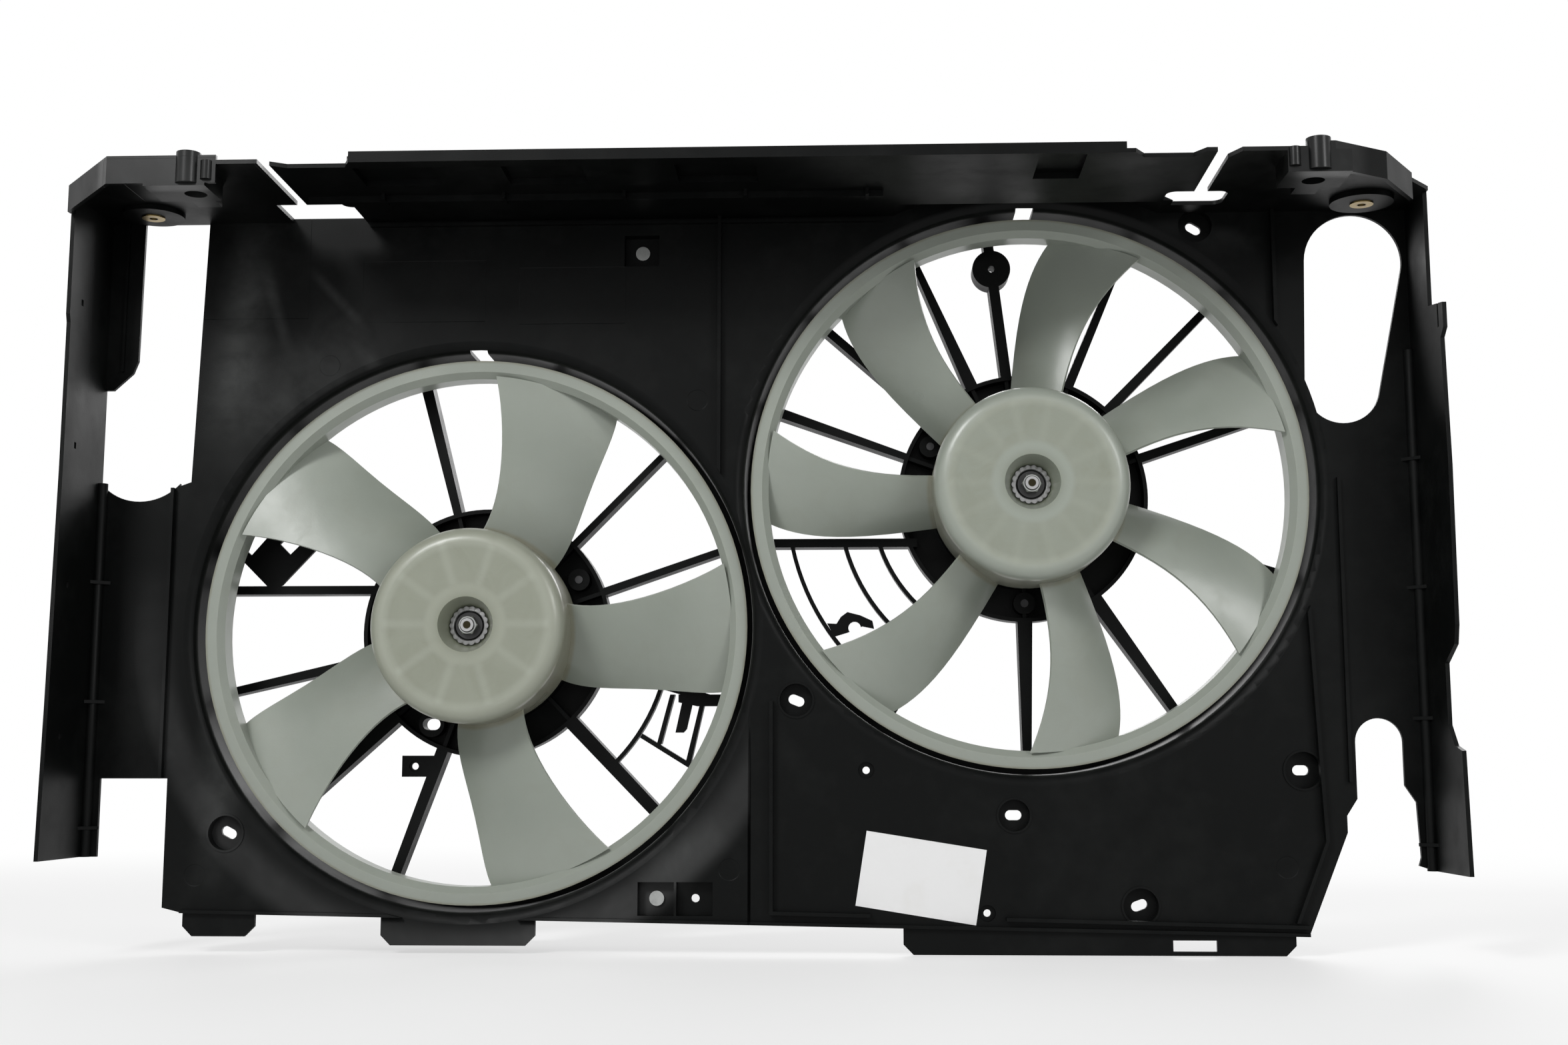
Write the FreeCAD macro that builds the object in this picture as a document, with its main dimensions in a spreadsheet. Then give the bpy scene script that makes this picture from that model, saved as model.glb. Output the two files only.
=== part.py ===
import FreeCAD, Part
import math
import os
import Sketcher

# Twin-fan radiator shroud: one black moulding (panel, side wings, top deck, ducts and
# motor carriers), two ringed fans on motor shafts, two brush motors, brass inserts.
#
# Frame, in millimetres: +X right and +Z up when the radiator side (-Y) is faced, +Y towards
# the engine. The origin is at the middle of the width and depth, level with the lowest tab.
# Places on the panel are measured from the left fan's axis.

doc = FreeCAD.newDocument("radiator_fan_shroud")
vector = FreeCAD.Vector

# --------------------------------------------------------------------------- sizes
SIZES = {
    # the two fan axes
    "left_axis_x": -172.0,          # left fan axis
    "left_axis_z": 197.5,
    "axis_spacing": 345.0,          # right axis, measured from the left one
    "axis_rise": 85.7,
    # panel
    "panel_y": 22.0,                # front face of the panel
    "wall": 2.5,                    # wall of the whole moulding
    "deck_rise": 259.0,             # underside of the deck
    "left_web_margin": 13.0,        # panel between each duct's bore and the wing beside it
    "right_web_margin": 9.0,
    "wing_width": 53.0,             # a wing, from the panel's edge to its side wall's face
    "panel_top_reach": 174.5,       # left edge of the panel at its top
    "panel_step_reach": 179.5,      # left edge of the panel just above the left web
    "panel_step_rise": 91.5,
    "left_foot_drop": 171.0,        # lower left corner
    "left_edge_drop": 174.0,        # bottom edge at its left end
    "right_edge_drop": 186.0,       # bottom edge at its right end
    "right_edge_inset": 25.0,       # where the bottom edge ends, inside the right wing
    "right_foot_drop": 125.0,       # top of the sloping lower right corner
    "rib_height": 5.0,              # ribs on the front face
    "rib_width": 2.2,
    "upper_rib_x": 151.6,
    "upper_rib_foot": 92.0,
    "lower_rib_x": 184.3,
    "lower_rib_top": -46.0,
    "corner_rib_inset": 33.5,
    "corner_rib_foot": 175.0,
    "bottom_rib_rise": 12.0,        # rib over the bottom edge, at its left and right ends
    "bottom_rib_end": 4.5,
    "bottom_rib_gap_left": 245.0,   # it leaves room for the label
    "bottom_rib_gap_right": 326.0,
    "lip_height": 2.0,              # lip along the bottom edge, and the ledge under the deck
    "lip_stand": 3.5,
    "ledge_left": -70.0,
    "ledge_right": 255.0,
    "ledge_drop": 4.0,
    # bottom tabs: from, to and how far they hang below the axis
    "tab_a_left": -173.4,
    "tab_a_right": -128.8,
    "tab_a_drop": 188.0,
    "tab_b_left": -51.5,
    "tab_b_right": 42.7,
    "tab_b_drop": 193.0,
    "tab_c_left": 264.7,
    "tab_c_right": 497.7,
    "tab_c_drop": 197.5,
    "tab_chamfer": 6.0,
    "tab_slot_x": 438.0,            # slot in the longest tab
    "tab_slot_rise": 2.5,
    "tab_slot_length": 26.0,
    "tab_slot_width": 6.5,
    # dished seats for slotted fixings, and small round ones
    "seat_depth": 7.0,
    "collar_width": 1.2,
    "collar_height": 0.8,
    "slot_length": 10.0,
    "slot_width": 6.0,
    "eyelet_radius": 5.0,
    "eyelet_hole": 2.2,
    # square pockets
    "pocket_width": 22.0,
    "pocket_height": 20.0,
    "pocket_depth": 8.0,
    "rivet_head": 4.5,
    "rivet_shank": 2.4,
    "rivet_head_height": 1.6,
    "rivet_clearance": 0.1,
    # paper label
    "label_x": 275.6,
    "label_z": -152.1,
    "label_length": 73.0,
    "label_height": 45.0,
    "label_turn": -9.0,
    "label_thickness": 0.4,
    # left wing
    "left_flange_reach": 216.0,     # inner edge of the upper flange
    "left_flange_foot": 150.5,
    "left_web_top": 90.5,
    "left_web_dish": 11.2,          # depth of the web's dished top edge
    "left_web_drop": 93.0,
    "left_leg_drop": 140.5,
    "left_leg_width": 11.0,
    "corner_bead": 3.5,             # bead in the corner of each wing
    "corner_bead_inset": 1.5,
    "right_bead_top": 169.0,
    # right wing, measured from the panel's edge
    "right_opening_top_x": 17.3,
    "right_opening_top_z": 226.2,
    "right_opening_top_r": 30.0,
    "right_opening_foot_x": 7.8,
    "right_opening_foot_z": 147.0,
    "right_opening_foot_r": 23.0,
    "right_slot_left": 6.5,
    "right_slot_right": 35.0,
    "right_slot_rise": -71.0,
    "right_leg_drop": 147.5,
    "side_wall_depth": 57.0,        # how far the side walls stand in front of the panel
    "side_wall_step": 20.0,         # how far the right wall's stepped stretches stay back
    "gusset": 9.0,
    "gusset_thickness": 2.0,
    # top deck and corner brackets
    "deck_depth": 116.0,            # from the panel's front face to the deck's front edge
    "deck_slot": 6.0,               # slit between the left bracket and the deck
    "left_split": -101.0,
    "left_notch_left": -120.0,
    "left_notch_right": -73.0,
    "left_notch_depth": 37.0,
    "notch_round": 6.0,
    "right_split": -87.5,           # from the right edge of the panel
    "right_deck_slot": 8.0,
    "right_notch_left": -103.5,
    "right_notch_right": -66.5,
    "right_notch_back": 16.0,
    "right_notch_depth": 27.0,
    "hood_radius": 192.0,           # arch over the right fan
    "hood_depth": 26.0,
    "pan_width": 47.0,              # raised pans in the deck
    "pan_depth": 33.0,
    "pan_rise": 4.0,
    "pan_setback": 72.0,            # rear edge of the pans, from the panel's front face
    "long_pan_x": 356.5,
    "long_pan_width": 27.0,
    "long_pan_depth": 43.0,
    "deck_lip_right": 392.0,        # raised lip along the deck's front edge
    "deck_front_dip": 9.0,          # shallow cut-backs in that edge
    "deck_rib_pitch": 73.3,
    "deck_rib_x": -48.9,
    "deck_rib_height": 4.0,
    "deck_rib_width": 2.0,
    "deck_rib_left": -95.0,
    "deck_rib_length": 350.0,
    "deck_cross_rib": 12.0,
    "deck_rib_setback": 53.5,
    "bracket_wall_drop": 11.0,      # front walls of the brackets, below and above the deck
    "bracket_wall_rise": 5.5,
    "pin_left_x": -148.0,           # upright holes for the radiator pins
    "pin_right_x": -30.5,           # from the right edge of the panel
    "pin_setback": 99.0,           # from the panel's front face
    "pin_hole": 6.5,
    "pin_block_width": 36.0,
    "pin_block_depth": 30.0,
    "pin_block_drop": 12.5,
    "bead_radius": 7.0,             # half-round bead on the bracket's front wall
    "bead_stand": 4.0,
    "bead_rise": 7.5,
    "small_bead": 3.5,
    "left_corner_width": 44.5,      # chamfer of the left bracket's outer corner
    "left_corner_depth": 64.0,
    "skirt_overlap": 17.0,          # front wall past the pin, towards the middle
    "insert_left_x": -202.0,        # threaded inserts
    "insert_right_x": 17.5,         # from the right edge of the panel
    "insert_setback": 24.0,
    "insert_pad": 19.0,
    "insert_pad_drop": 3.0,
    "insert_flange": 7.0,
    "insert_flange_height": 0.8,
    "insert_body": 5.0,
    "insert_thread": 2.5,
    "insert_length": 10.0,
    # ducts and motor carriers
    "tip_gap": 3.5,                 # fan ring to duct
    "flare": 7.0,                   # rounded mouth of each duct
    "duct_depth": 46.0,             # panel front to the rear of the barrel
    "rim_depth": 16.0,              # depth of the carrier behind the barrel
    "carrier_outer": 80.0,          # ring that carries the motor
    "carrier_inner": 56.0,
    "rear_lip": 4.0,                # how far the barrel's rear lip covers the fan's ring
    "screw_boss": 7.0,
    "arm_width": 5.5,
    "left_arm_rise": 25.0,
    "right_arm_rise": -31.5,
    "spoke_setback": 2.0,           # spokes and ring, behind the end of the barrel
    "spoke_boss": 12.4,             # round boss on one right spoke
    "spoke_boss_reach": 152.5,
    "spoke_boss_turn": 96.7,
    "guard_width": 2.6,             # thin curved ribs between the spokes
    "guard_depth": 8.0,
    "guard_inner": 96.8,
    "guard_middle": 118.2,
    "guard_outer": 151.3,
    "carrier_slot_x": -34.6,
    "carrier_slot_z": -58.7,
    "carrier_slot_length": 11.4,
    "carrier_slot_width": 7.4,
    "tab_hole_x": -44.4,
    "tab_hole_z": -85.4,
    "tab_dish": 3.6,
    "ear_pitch": 68.0,              # radius of the motor screws
    "notch_width": 11.0,
    "notch_height": 4.5,
    # fans
    "left_ring_radius": 170.0,
    "right_ring_radius": 173.0,
    "ring_setback": 10.0,           # fan ring's front edge behind the panel's front face
    "ring_band": 11.0,
    "ring_depth": 18.0,
    "ring_wall": 2.2,
    "hub_radius": 60.0,
    "hub_lead": 30.0,               # hub face in front of the ring
    "hub_depth": 54.0,
    "hub_wall": 2.5,
    "hub_round": 9.0,
    "dish_radius": 17.0,
    "dish_floor": 12.0,
    "dish_depth": 14.0,
    "boss_radius": 13.0,
    "boss_depth": 14.0,
    "blade_thickness": 2.6,
    "blade_bow": 3.0,               # how far a blade's section bulges forward
    "ring_bevel": 4.0,
    "left_hub_ribs": 10,            # ribs behind the hub's face
    "right_hub_ribs": 14,
    "hub_rib_depth": 9.0,
    "hub_rib_width": 1.6,
    # fan fastening
    "nut_radius": 6.2,
    "nut_height": 6.0,
    "washer_radius": 10.0,
    "washer_height": 1.5,
    "washer_clearance": 0.2,
    "bush_radius": 7.5,
    "shaft_radius": 4.0,
    "shaft_nose": 1.5,
    "press_gap": 0.02,
    # motors
    "can_radius": 44.0,
    "can_wall": 2.5,
    "can_front": 16.0,              # front of the can, behind the panel's front face
    "can_depth": 54.0,
    "cap_thickness": 2.5,
    "boss_wall": 3.0,
    "bearing_radius": 9.0,
    "bearing_length": 6.0,
    "running_gap": 0.04,
    "cap_boss_depth": 6.0,
    "cap_end_wall": 3.5,
    "flange_thickness": 2.5,
    "flange_band": 7.0,
    "ear_radius": 8.0,
    "screw_radius": 2.5,
    "screw_head": 4.6,
    "screw_head_height": 3.6,
    "screw_length": 16.0,
    "magnet_inner": 34.0,
    "magnet_depth": 34.0,
    "magnet_angle": 74.0,
    "air_gap": 0.8,
    "core_depth": 26.0,
    "core_slots": 12,
    "core_front": 12.0,             # core, behind the front of the can
    "core_slot_width": 4.0,
    "core_slot_depth": 14.0,
    "coil_depth": 5.0,
    "coil_radius": 30.0,
    "coil_gap": 0.3,
    "commutator_radius": 11.0,
    "commutator_depth": 6.0,
    "brush_width": 5.0,
    "brush_length": 11.0,
    "brush_gap": 0.3,
    "brush_slack": 0.1,
    "brush_box_wall": 1.5,
    "holder_radius": 40.0,
    "holder_thickness": 2.0,
    "plug_width": 24.0,
    "plug_height": 14.0,
    "plug_depth": 10.0,
    "plug_wall": 1.6,
    "plug_turn": 210.0,
    "pin_size": 2.0,
    "seat_gap": 0.3,                # clearance between pieces that only lie side by side
}

# Dished seats: x and z from the left axis, radius, and the turn of the slot in degrees.
SEATS = {
    "seat_a": (-149.0, -126.0, 10.5, -28.0),
    "seat_b": (200.5, -45.5, 10.0, -22.0),
    "seat_c": (451.0, 250.5, 10.5, -32.0),
    "seat_d": (332.0, -115.0, 9.5, 0.0),
    "seat_e": (505.5, -88.0, 11.0, 0.0),
    "seat_f": (406.5, -168.5, 10.5, 20.0),
}
COLLARED = ("seat_a", "seat_b", "seat_d", "seat_e", "seat_f")
EYELETS = {"eyelet_a": (243.0, -88.0), "eyelet_b": (315.0, -173.0)}
POCKETS = {"pocket_a": (103.2, 238.0), "pocket_b": (115.5, -165.0), "pocket_c": (139.0, -165.0)}
PANS = {"pan_a": -31.0, "pan_b": 56.0, "pan_c": 157.0}
LEFT_GUSSETS = (27.0, -47.0, -124.0)
RIGHT_GUSSETS = (100.0, 21.0, -58.0, -133.0)

# Blades are drawn flat, square to their own radius. Each station is a distance from the
# axis, the leading edge and the trailing edge to one side of that radius, and half the depth.
BLADES = {
    "left": {
        "count": 5,
        "first": 66.0,
        "stations": ((46, 22.5, -22, 14), (78, 21.7, -28, 13), (107, 31, -26, 12),
                     (136, 46, -25, 10.5), (168, 72, -19, 9)),
    },
    "right": {
        "count": 7,
        "first": 78.0,
        "stations": ((46, -8, 19, 14), (80, -9.5, 23, 13), (110, -15, 25, 12),
                     (138, -27, 23.5, 10.5), (171, -51, 11, 9)),
    },
}
# Spokes: angle, width at the motor's ring and width at the rim.
SPOKES = {
    "left": ((19, 5.0, 4.5), (45.5, 4.5, 4.0), (76, 6.0, 5.0), (105, 5.5, 7.5), (134, 6.0, 5.0),
             (193, 6.0, 5.0), (223, 9.0, 6.0), (250.2, 7.5, 6.0), (283, 6.0, 5.0),
             (314, 9.0, 7.5), (343.5, 6.0, 5.0)),
    "right": ((18.5, 6.0, 5.0), (45.5, 6.5, 5.0), (67, 6.0, 4.5), (96.7, 7.0, 6.5),
              (113.5, 8.0, 4.0), (138.4, 5.5, 5.5), (160, 4.5, 6.5), (238, 6.0, 6.0),
              (270, 9.5, 5.0), (304.5, 9.0, 5.5), (343, 6.0, 5.0)),
}
EARS = (30, 150, 270)

# Outlines that follow no rule: pairs of distances.
PATHS = {
    # front edges of the side walls: distance in front of the plain edge, and rise
    "left_edge": ((1.5, 186), (0, 181), (0, 90), (3, -50)),
    "right_edge": ((-20, 188), (6, 184), (6, 169), (0, 164), (3, 88), (1, -5), (-2, -16),
                   (-20, -26), (-20, -62), (-10, -74), (2, -77)),
    # bent rib beside the right fan: distance from the panel's edge, and rise
    "bend": ((-18.5, 29), (-14, -85), (-12, -130), (-31, -178)),
    # outer edge of the right bracket: distance from the side wall and from the front edge
    "curve": ((-74.5, 0), (-40.5, 20), (-14.5, 59), (0, 76)),
    # harness bracket, clip frame and hook on the motor carriers, from the fan's axis
    "harness": ((-142.8, 29), (-166, 52), (-163.5, 58), (-155.2, 50.7), (-129.3, 80.7),
                (-106.5, 61.1), (-134.5, 31)),
    "harness_hole": ((-136.8, 58), (-129.8, 65), (-122.8, 58), (-129.8, 51)),
    "clip_bar": ((118.7, -40), (121.7, -40), (113.4, -71.5), (110.4, -71.5)),
    "clip_block": ((127.4, -40), (134.4, -40), (129.5, -62), (127.5, -64.2), (122.2, -64.2)),
    "clip_post": ((138.2, -44), (141.2, -44), (132, -84.5), (129, -82.5)),
    "clip_rail": ((99.7, -67.4), (101.2, -64.9), (134.2, -85), (132.6, -87.6)),
    "clip_head": ((124, -40), (124, -45), (136, -47.5), (151, -47.5), (153, -40)),
    "hook": ((-126, -80.5), (-120, -80.8), (-117.2, -76.4), (-113, -73.3), (-104.8, -75.4),
             (-97, -79), (-96, -84), (-103.5, -82.5), (-113, -86.5), (-121.3, -89)),
    "hook_notch": ((-108.4, -83.5),),
    "harness_tab": ((-52.7, -92.1), (-52.7, -78.7), (-30, -78.7), (-34, -92.1)),
}

sheet = doc.addObject("Spreadsheet::Sheet", "sizes")
TABLE = dict(SIZES)
for label, values in SEATS.items():
    for word, value in zip(("x", "z", "radius", "turn"), values):
        TABLE[f"{label}_{word}"] = value
for label, values in list(EYELETS.items()) + list(POCKETS.items()):
    for word, value in zip(("x", "z"), values):
        TABLE[f"{label}_{word}"] = value
for label, value in PANS.items():
    TABLE[f"{label}_x"] = value
for label, pairs in PATHS.items():
    for number, pair in enumerate(pairs, start=1):
        TABLE[f"{label}_{number}_a"], TABLE[f"{label}_{number}_b"] = pair
for row, (label, value) in enumerate(TABLE.items(), start=1):
    sheet.set(f"A{row}", label)
    sheet.set(f"B{row}", str(value))
    sheet.setAlias(f"B{row}", label)
doc.recompute()


class Size:
    """A length with its number and the document expression that gives that number."""

    def __init__(self, value, text):
        self.value = float(value)
        self.text = text

    @staticmethod
    def of(other):
        if isinstance(other, Size):
            return other
        return Size(other, repr(float(other)))

    def _join(self, other, sign, value):
        return Size(value, f"({self.text} {sign} {Size.of(other).text})")

    def __add__(self, other):
        return self._join(other, "+", self.value + Size.of(other).value)

    def __sub__(self, other):
        return self._join(other, "-", self.value - Size.of(other).value)

    def __mul__(self, other):
        return self._join(other, "*", self.value * Size.of(other).value)

    def __truediv__(self, other):
        return self._join(other, "/", self.value / Size.of(other).value)

    def __radd__(self, other):
        return Size.of(other) + self

    def __rsub__(self, other):
        return Size.of(other) - self

    def __rmul__(self, other):
        return Size.of(other) * self

    def __neg__(self):
        return Size(-self.value, f"(-{self.text})")

    def count(self):
        return round(self.value)


def cell(label):
    """The size that the spreadsheet holds under this name."""
    return Size(sheet.get(label), f"sizes.{label}")


def path(label):
    """The pairs of distances of one of the outlines."""
    numbers = range(1, len(PATHS[label]) + 1)
    return [(cell(f"{label}_{number}_a"), cell(f"{label}_{number}_b")) for number in numbers]


def across(size):
    """A place to the right of the left fan's axis."""
    return cell("left_axis_x") + size


def above(size):
    """A place above the left fan's axis."""
    return cell("left_axis_z") + size


# --------------------------------------------------------------------------- helpers
def bind(item, **sizes):
    for name, size in sizes.items():
        item.setExpression(name, Size.of(size).text)
    return item


def place(item, at, turn=0.0, shift=(0.0, 0.0, 0.0), stand="rotation(vector(0; 0; 1); 0)"):
    """Put a primitive at a point, turned about the fan axis there after its own shift."""
    spot = "; ".join(Size.of(part).text for part in at)
    own = "; ".join(Size.of(part).text for part in shift)
    item.setExpression(
        "Placement",
        f"placement(vector({spot}); rotation(vector(0; -1; 0); {Size.of(turn).text}))"
        f" * placement(vector({own}); {stand})",
    )
    return item


def box(name, low, size, at=(0.0, 0.0, 0.0), turn=0.0):
    """A block from its low corner, in a frame that may be turned about Y."""
    item = doc.addObject("Part::Box", name)
    bind(item, Length=size[0], Width=size[1], Height=size[2])
    return place(item, at, turn, low)


def rod_y(name, at, radius, length):
    """A round bar along +Y."""
    item = doc.addObject("Part::Cylinder", name)
    bind(item, Radius=radius, Height=length)
    return place(item, at, stand="rotation(vector(1; 0; 0); -90)")


def rod_z(name, at, radius, length):
    """A round bar along +Z."""
    item = doc.addObject("Part::Cylinder", name)
    bind(item, Radius=radius, Height=length)
    return place(item, at)


def rod_out(name, axis, turn, reach, y, radius, length):
    """A round bar along +Y, at a distance from a fan axis in the direction of an angle."""
    item = doc.addObject("Part::Cylinder", name)
    bind(item, Radius=radius, Height=length)
    return place(item, (axis[0], 0.0, axis[1]), turn, (reach, y, 0.0),
                 "rotation(vector(1; 0; 0); -90)")


def group(name, parts):
    """Separate solids kept together as one sub-part."""
    item = doc.addObject("Part::Compound", name)
    item.Links = list(parts)
    return item


def fuse(name, parts):
    item = doc.addObject("Part::MultiFuse", name)
    item.Shapes = list(parts)
    item.Refine = True
    return item


def cut(name, base, tools):
    item = doc.addObject("Part::Cut", name)
    item.Base = base
    item.Tool = tools[0] if len(tools) == 1 else fuse(name + "_tools", tools)
    item.Refine = True
    return item


def common(name, first, second):
    item = doc.addObject("Part::MultiCommon", name)
    item.Shapes = [first, second]
    return item


def plane_of(body, role):
    return [item for item in body.Origin.OriginFeatures if item.Role == role][0]


def arc_centre(start, end, radius, left):
    """Centre of the short arc from start to end, on the left or right of the chord."""
    chord = end - start
    rise = math.sqrt(max(radius ** 2 - (chord.Length / 2) ** 2, 0.0))
    normal = vector(-chord.y, chord.x, 0).normalize()
    return (start + end) * 0.5 + normal * (rise if left else -rise)


def profile(body, name, role, points, level=0.0):
    """A closed sketch whose corners are bound to sizes.

    A point is (u, v), or (u, v, radius, side) where an arc of that radius runs on to the
    next point with its centre to the left or right of the way.
    """
    sketch = body.newObject("Sketcher::SketchObject", name)
    sketch.AttachmentSupport = [(plane_of(body, role), "")]
    sketch.MapMode = "FlatFace"
    flip = -1.0 if role == "XZ_Plane" else 1.0
    sketch.setExpression("AttachmentOffset.Base.z", (Size.of(level) * flip).text)
    spots = [vector(Size.of(point[0]).value, Size.of(point[1]).value, 0) for point in points]
    ends = []
    for index, point in enumerate(points):
        start, end = spots[index], spots[(index + 1) % len(points)]
        if len(point) == 2:
            sketch.addGeometry(Part.LineSegment(start, end), False)
            ends.append((1, 2))
            continue
        radius, left = Size.of(point[2]).value, point[3] == "left"
        centre = arc_centre(start, end, radius, left)
        first, last = (start, end) if left else (end, start)
        angles = [math.atan2(spot.y - centre.y, spot.x - centre.x) for spot in (first, last)]
        circle = Part.Circle(centre, vector(0, 0, 1), radius)
        sketch.addGeometry(Part.ArcOfCircle(circle, angles[0], angles[1]), False)
        ends.append((1, 2) if left else (2, 1))
    for index in range(len(points)):
        after = (index + 1) % len(points)
        sketch.addConstraint(
            Sketcher.Constraint("Coincident", index, ends[index][1], after, ends[after][0])
        )
    for index, point in enumerate(points):
        for kind, size in (("DistanceX", point[0]), ("DistanceY", point[1])):
            rule = Sketcher.Constraint(kind, -1, 1, index, ends[index][0], Size.of(size).value)
            number = sketch.addConstraint(rule)
            sketch.setExpression(f"Constraints[{number}]", Size.of(size).text)
        if len(point) == 4:
            rule = Sketcher.Constraint("Radius", index, Size.of(point[2]).value)
            number = sketch.addConstraint(rule)
            sketch.setExpression(f"Constraints[{number}]", Size.of(point[2]).text)
    return sketch


def plate(name, role, points, level, thickness, at=None, turn=0.0):
    """A flat piece padded from its level towards +X, +Y or +Z."""
    body = doc.addObject("PartDesign::Body", name)
    sketch = profile(body, name + "_outline", role, points, level)
    pad = body.newObject("PartDesign::Pad", name + "_pad")
    pad.Profile = sketch
    bind(pad, Length=thickness)
    pad.Reversed = role == "XZ_Plane"
    if at is not None:
        place(body, at, turn)
    return body


def turned(name, points, axis):
    """A piece turned about a fan axis; its points are (radius, y)."""
    body = doc.addObject("PartDesign::Body", name)
    sketch = profile(body, name + "_outline", "XY_Plane", points)
    turn = body.newObject("PartDesign::Revolution", name + "_turn")
    turn.Profile = sketch
    turn.ReferenceAxis = (sketch, ["V_Axis"])
    turn.Angle = 360.0
    return place(body, (axis[0], 0.0, axis[1]))


def tube(name, axis, y, outer, inner, length):
    return turned(name, ((inner, y), (outer, y), (outer, y + length), (inner, y + length)), axis)


def solid_feature(name, shape, at=(0.0, 0.0, 0.0)):
    """A piece whose form no sketch or primitive gives, made from its own shape."""
    item = doc.addObject("Part::Feature", name)
    item.Shape = shape
    return place(item, at)


NODES = []


def node(name, item):
    item.Label = name
    NODES.append((name, item))
    return item


# --------------------------------------------------------------------------- shared places
wall = cell("wall")
panel_y = cell("panel_y")
panel_back = panel_y + wall
deck_z = above(cell("deck_rise"))
deck_top = deck_z + wall
deck_front = panel_y - cell("deck_depth")
ring_y = panel_y + cell("ring_setback")
barrel_end = panel_y + cell("duct_depth")
carrier_end = barrel_end + cell("rim_depth")
AXES = {
    "left": (across(0.0), above(0.0)),
    "right": (across(cell("axis_spacing")), above(cell("axis_rise"))),
}
RING = {"left": cell("left_ring_radius"), "right": cell("right_ring_radius")}
BORE = {side: RING[side] + cell("tip_gap") for side in RING}
left_web = AXES["left"][0] - BORE["left"] - cell("left_web_margin")
right_web = AXES["right"][0] + BORE["right"] + cell("right_web_margin")
left_wall = left_web - cell("wing_width")
right_wall = right_web + cell("wing_width")
web_foot = above(cell("panel_step_rise")) - wall


# --------------------------------------------------------------------------- ducts
def duct_core(side):
    """The air's way through a duct: the rounded mouth and the straight bore."""
    bore, flare = BORE[side], cell("flare")
    mouth, front = bore + flare, panel_y - cell("rib_height") - 1.0
    return turned(
        f"{side}_duct_core",
        ((0.0, front), (mouth, front), (mouth, panel_y, flare, "right"),
         (bore, panel_y + flare), (bore, carrier_end + 2.0), (0.0, carrier_end + 2.0)),
        AXES[side],
    )


def duct_outside(side):
    """The outer form of a duct, solid, from the back of the panel to the end of the barrel."""
    bore, flare = BORE[side], cell("flare")
    mouth, outer = bore + flare, bore + wall
    return turned(
        f"{side}_duct_outside",
        ((0.0, panel_back), (mouth, panel_back), (outer, panel_back + flare - wall),
         (outer, barrel_end), (0.0, barrel_end)),
        AXES[side],
    )


def duct_notch(side):
    """A small slot at the top of the barrel, right through to the rear."""
    x, z = AXES[side]
    width = cell("notch_width")
    return box(
        f"{side}_duct_notch", (x - width / 2, panel_y, z + BORE[side] - 1.0),
        (width, carrier_end - panel_y + 1.0, cell("notch_height")),
    )


CORE = {side: duct_core(side) for side in AXES}
OUTSIDE = {side: duct_outside(side) for side in AXES}
NOTCH = {side: duct_notch(side) for side in AXES}


def panel_outline():
    """The panel's own edge, without the tabs."""
    return (
        (across(-cell("panel_top_reach")), deck_top),
        (across(-cell("panel_top_reach")), deck_z),
        (across(-cell("panel_step_reach")), above(cell("panel_step_rise"))),
        (left_web, web_foot),
        (left_web, above(-cell("left_foot_drop"))),
        (across(-cell("panel_top_reach")), above(-cell("left_edge_drop"))),
        (right_web - cell("right_edge_inset"), above(-cell("right_edge_drop"))),
        (right_web, above(-cell("right_foot_drop"))),
        (right_web, deck_top),
    )


def ducts():
    """The two barrels behind the panel; the left one gives way where they meet."""
    field = plate("duct_field", "XZ_Plane", panel_outline(), panel_back, cell("duct_depth"))
    left = cut("left_duct_wall", common("left_duct_form", OUTSIDE["left"], field),
               [CORE["left"], CORE["right"], NOTCH["left"]])
    right = cut("right_duct_wall", OUTSIDE["right"],
                [CORE["right"], OUTSIDE["left"], NOTCH["right"]])
    node("left_fan_duct", left)
    node("right_fan_duct", right)


ducts()


# --------------------------------------------------------------------------- panel
def slot_y(name, x, z, length, width, turn, y, depth):
    """A slotted hole through a wall that faces Y."""
    half = (length - width) / 2
    middle = box(name + "_middle", (-half, 0.0, -width / 2), (length - width, depth, width),
                 (x, y, z), turn)
    ends = []
    for word, shift in (("low", -half), ("high", half)):
        end = doc.addObject("Part::Cylinder", f"{name}_{word}")
        bind(end, Radius=width / 2, Height=depth)
        place(end, (x, y, z), turn, (shift, 0.0, 0.0), "rotation(vector(1; 0; 0); -90)")
        ends.append(end)
    return [middle] + ends


def seats():
    """Dished round seats: each is a cup behind the panel with a slot in its floor."""
    walls, hollows = [], []
    for label in SEATS:
        x, z = across(cell(f"{label}_x")), above(cell(f"{label}_z"))
        radius, depth = cell(f"{label}_radius"), cell("seat_depth")
        walls.append(rod_y(label + "_cup", (x, panel_y, z), radius + wall, depth + wall))
        if label in COLLARED:
            high = cell("collar_height")
            walls.append(rod_y(label + "_collar", (x, panel_y - high, z),
                               radius + cell("collar_width"), high + 1.0))
        hollows.append(rod_y(label + "_hollow", (x, panel_y - 1.0, z), radius, depth + 1.0))
        hollows += slot_y(label + "_slot", x, z, cell("slot_length"), cell("slot_width"),
                          cell(f"{label}_turn"), panel_y, depth + wall + 1.0)
    return walls, hollows


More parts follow.
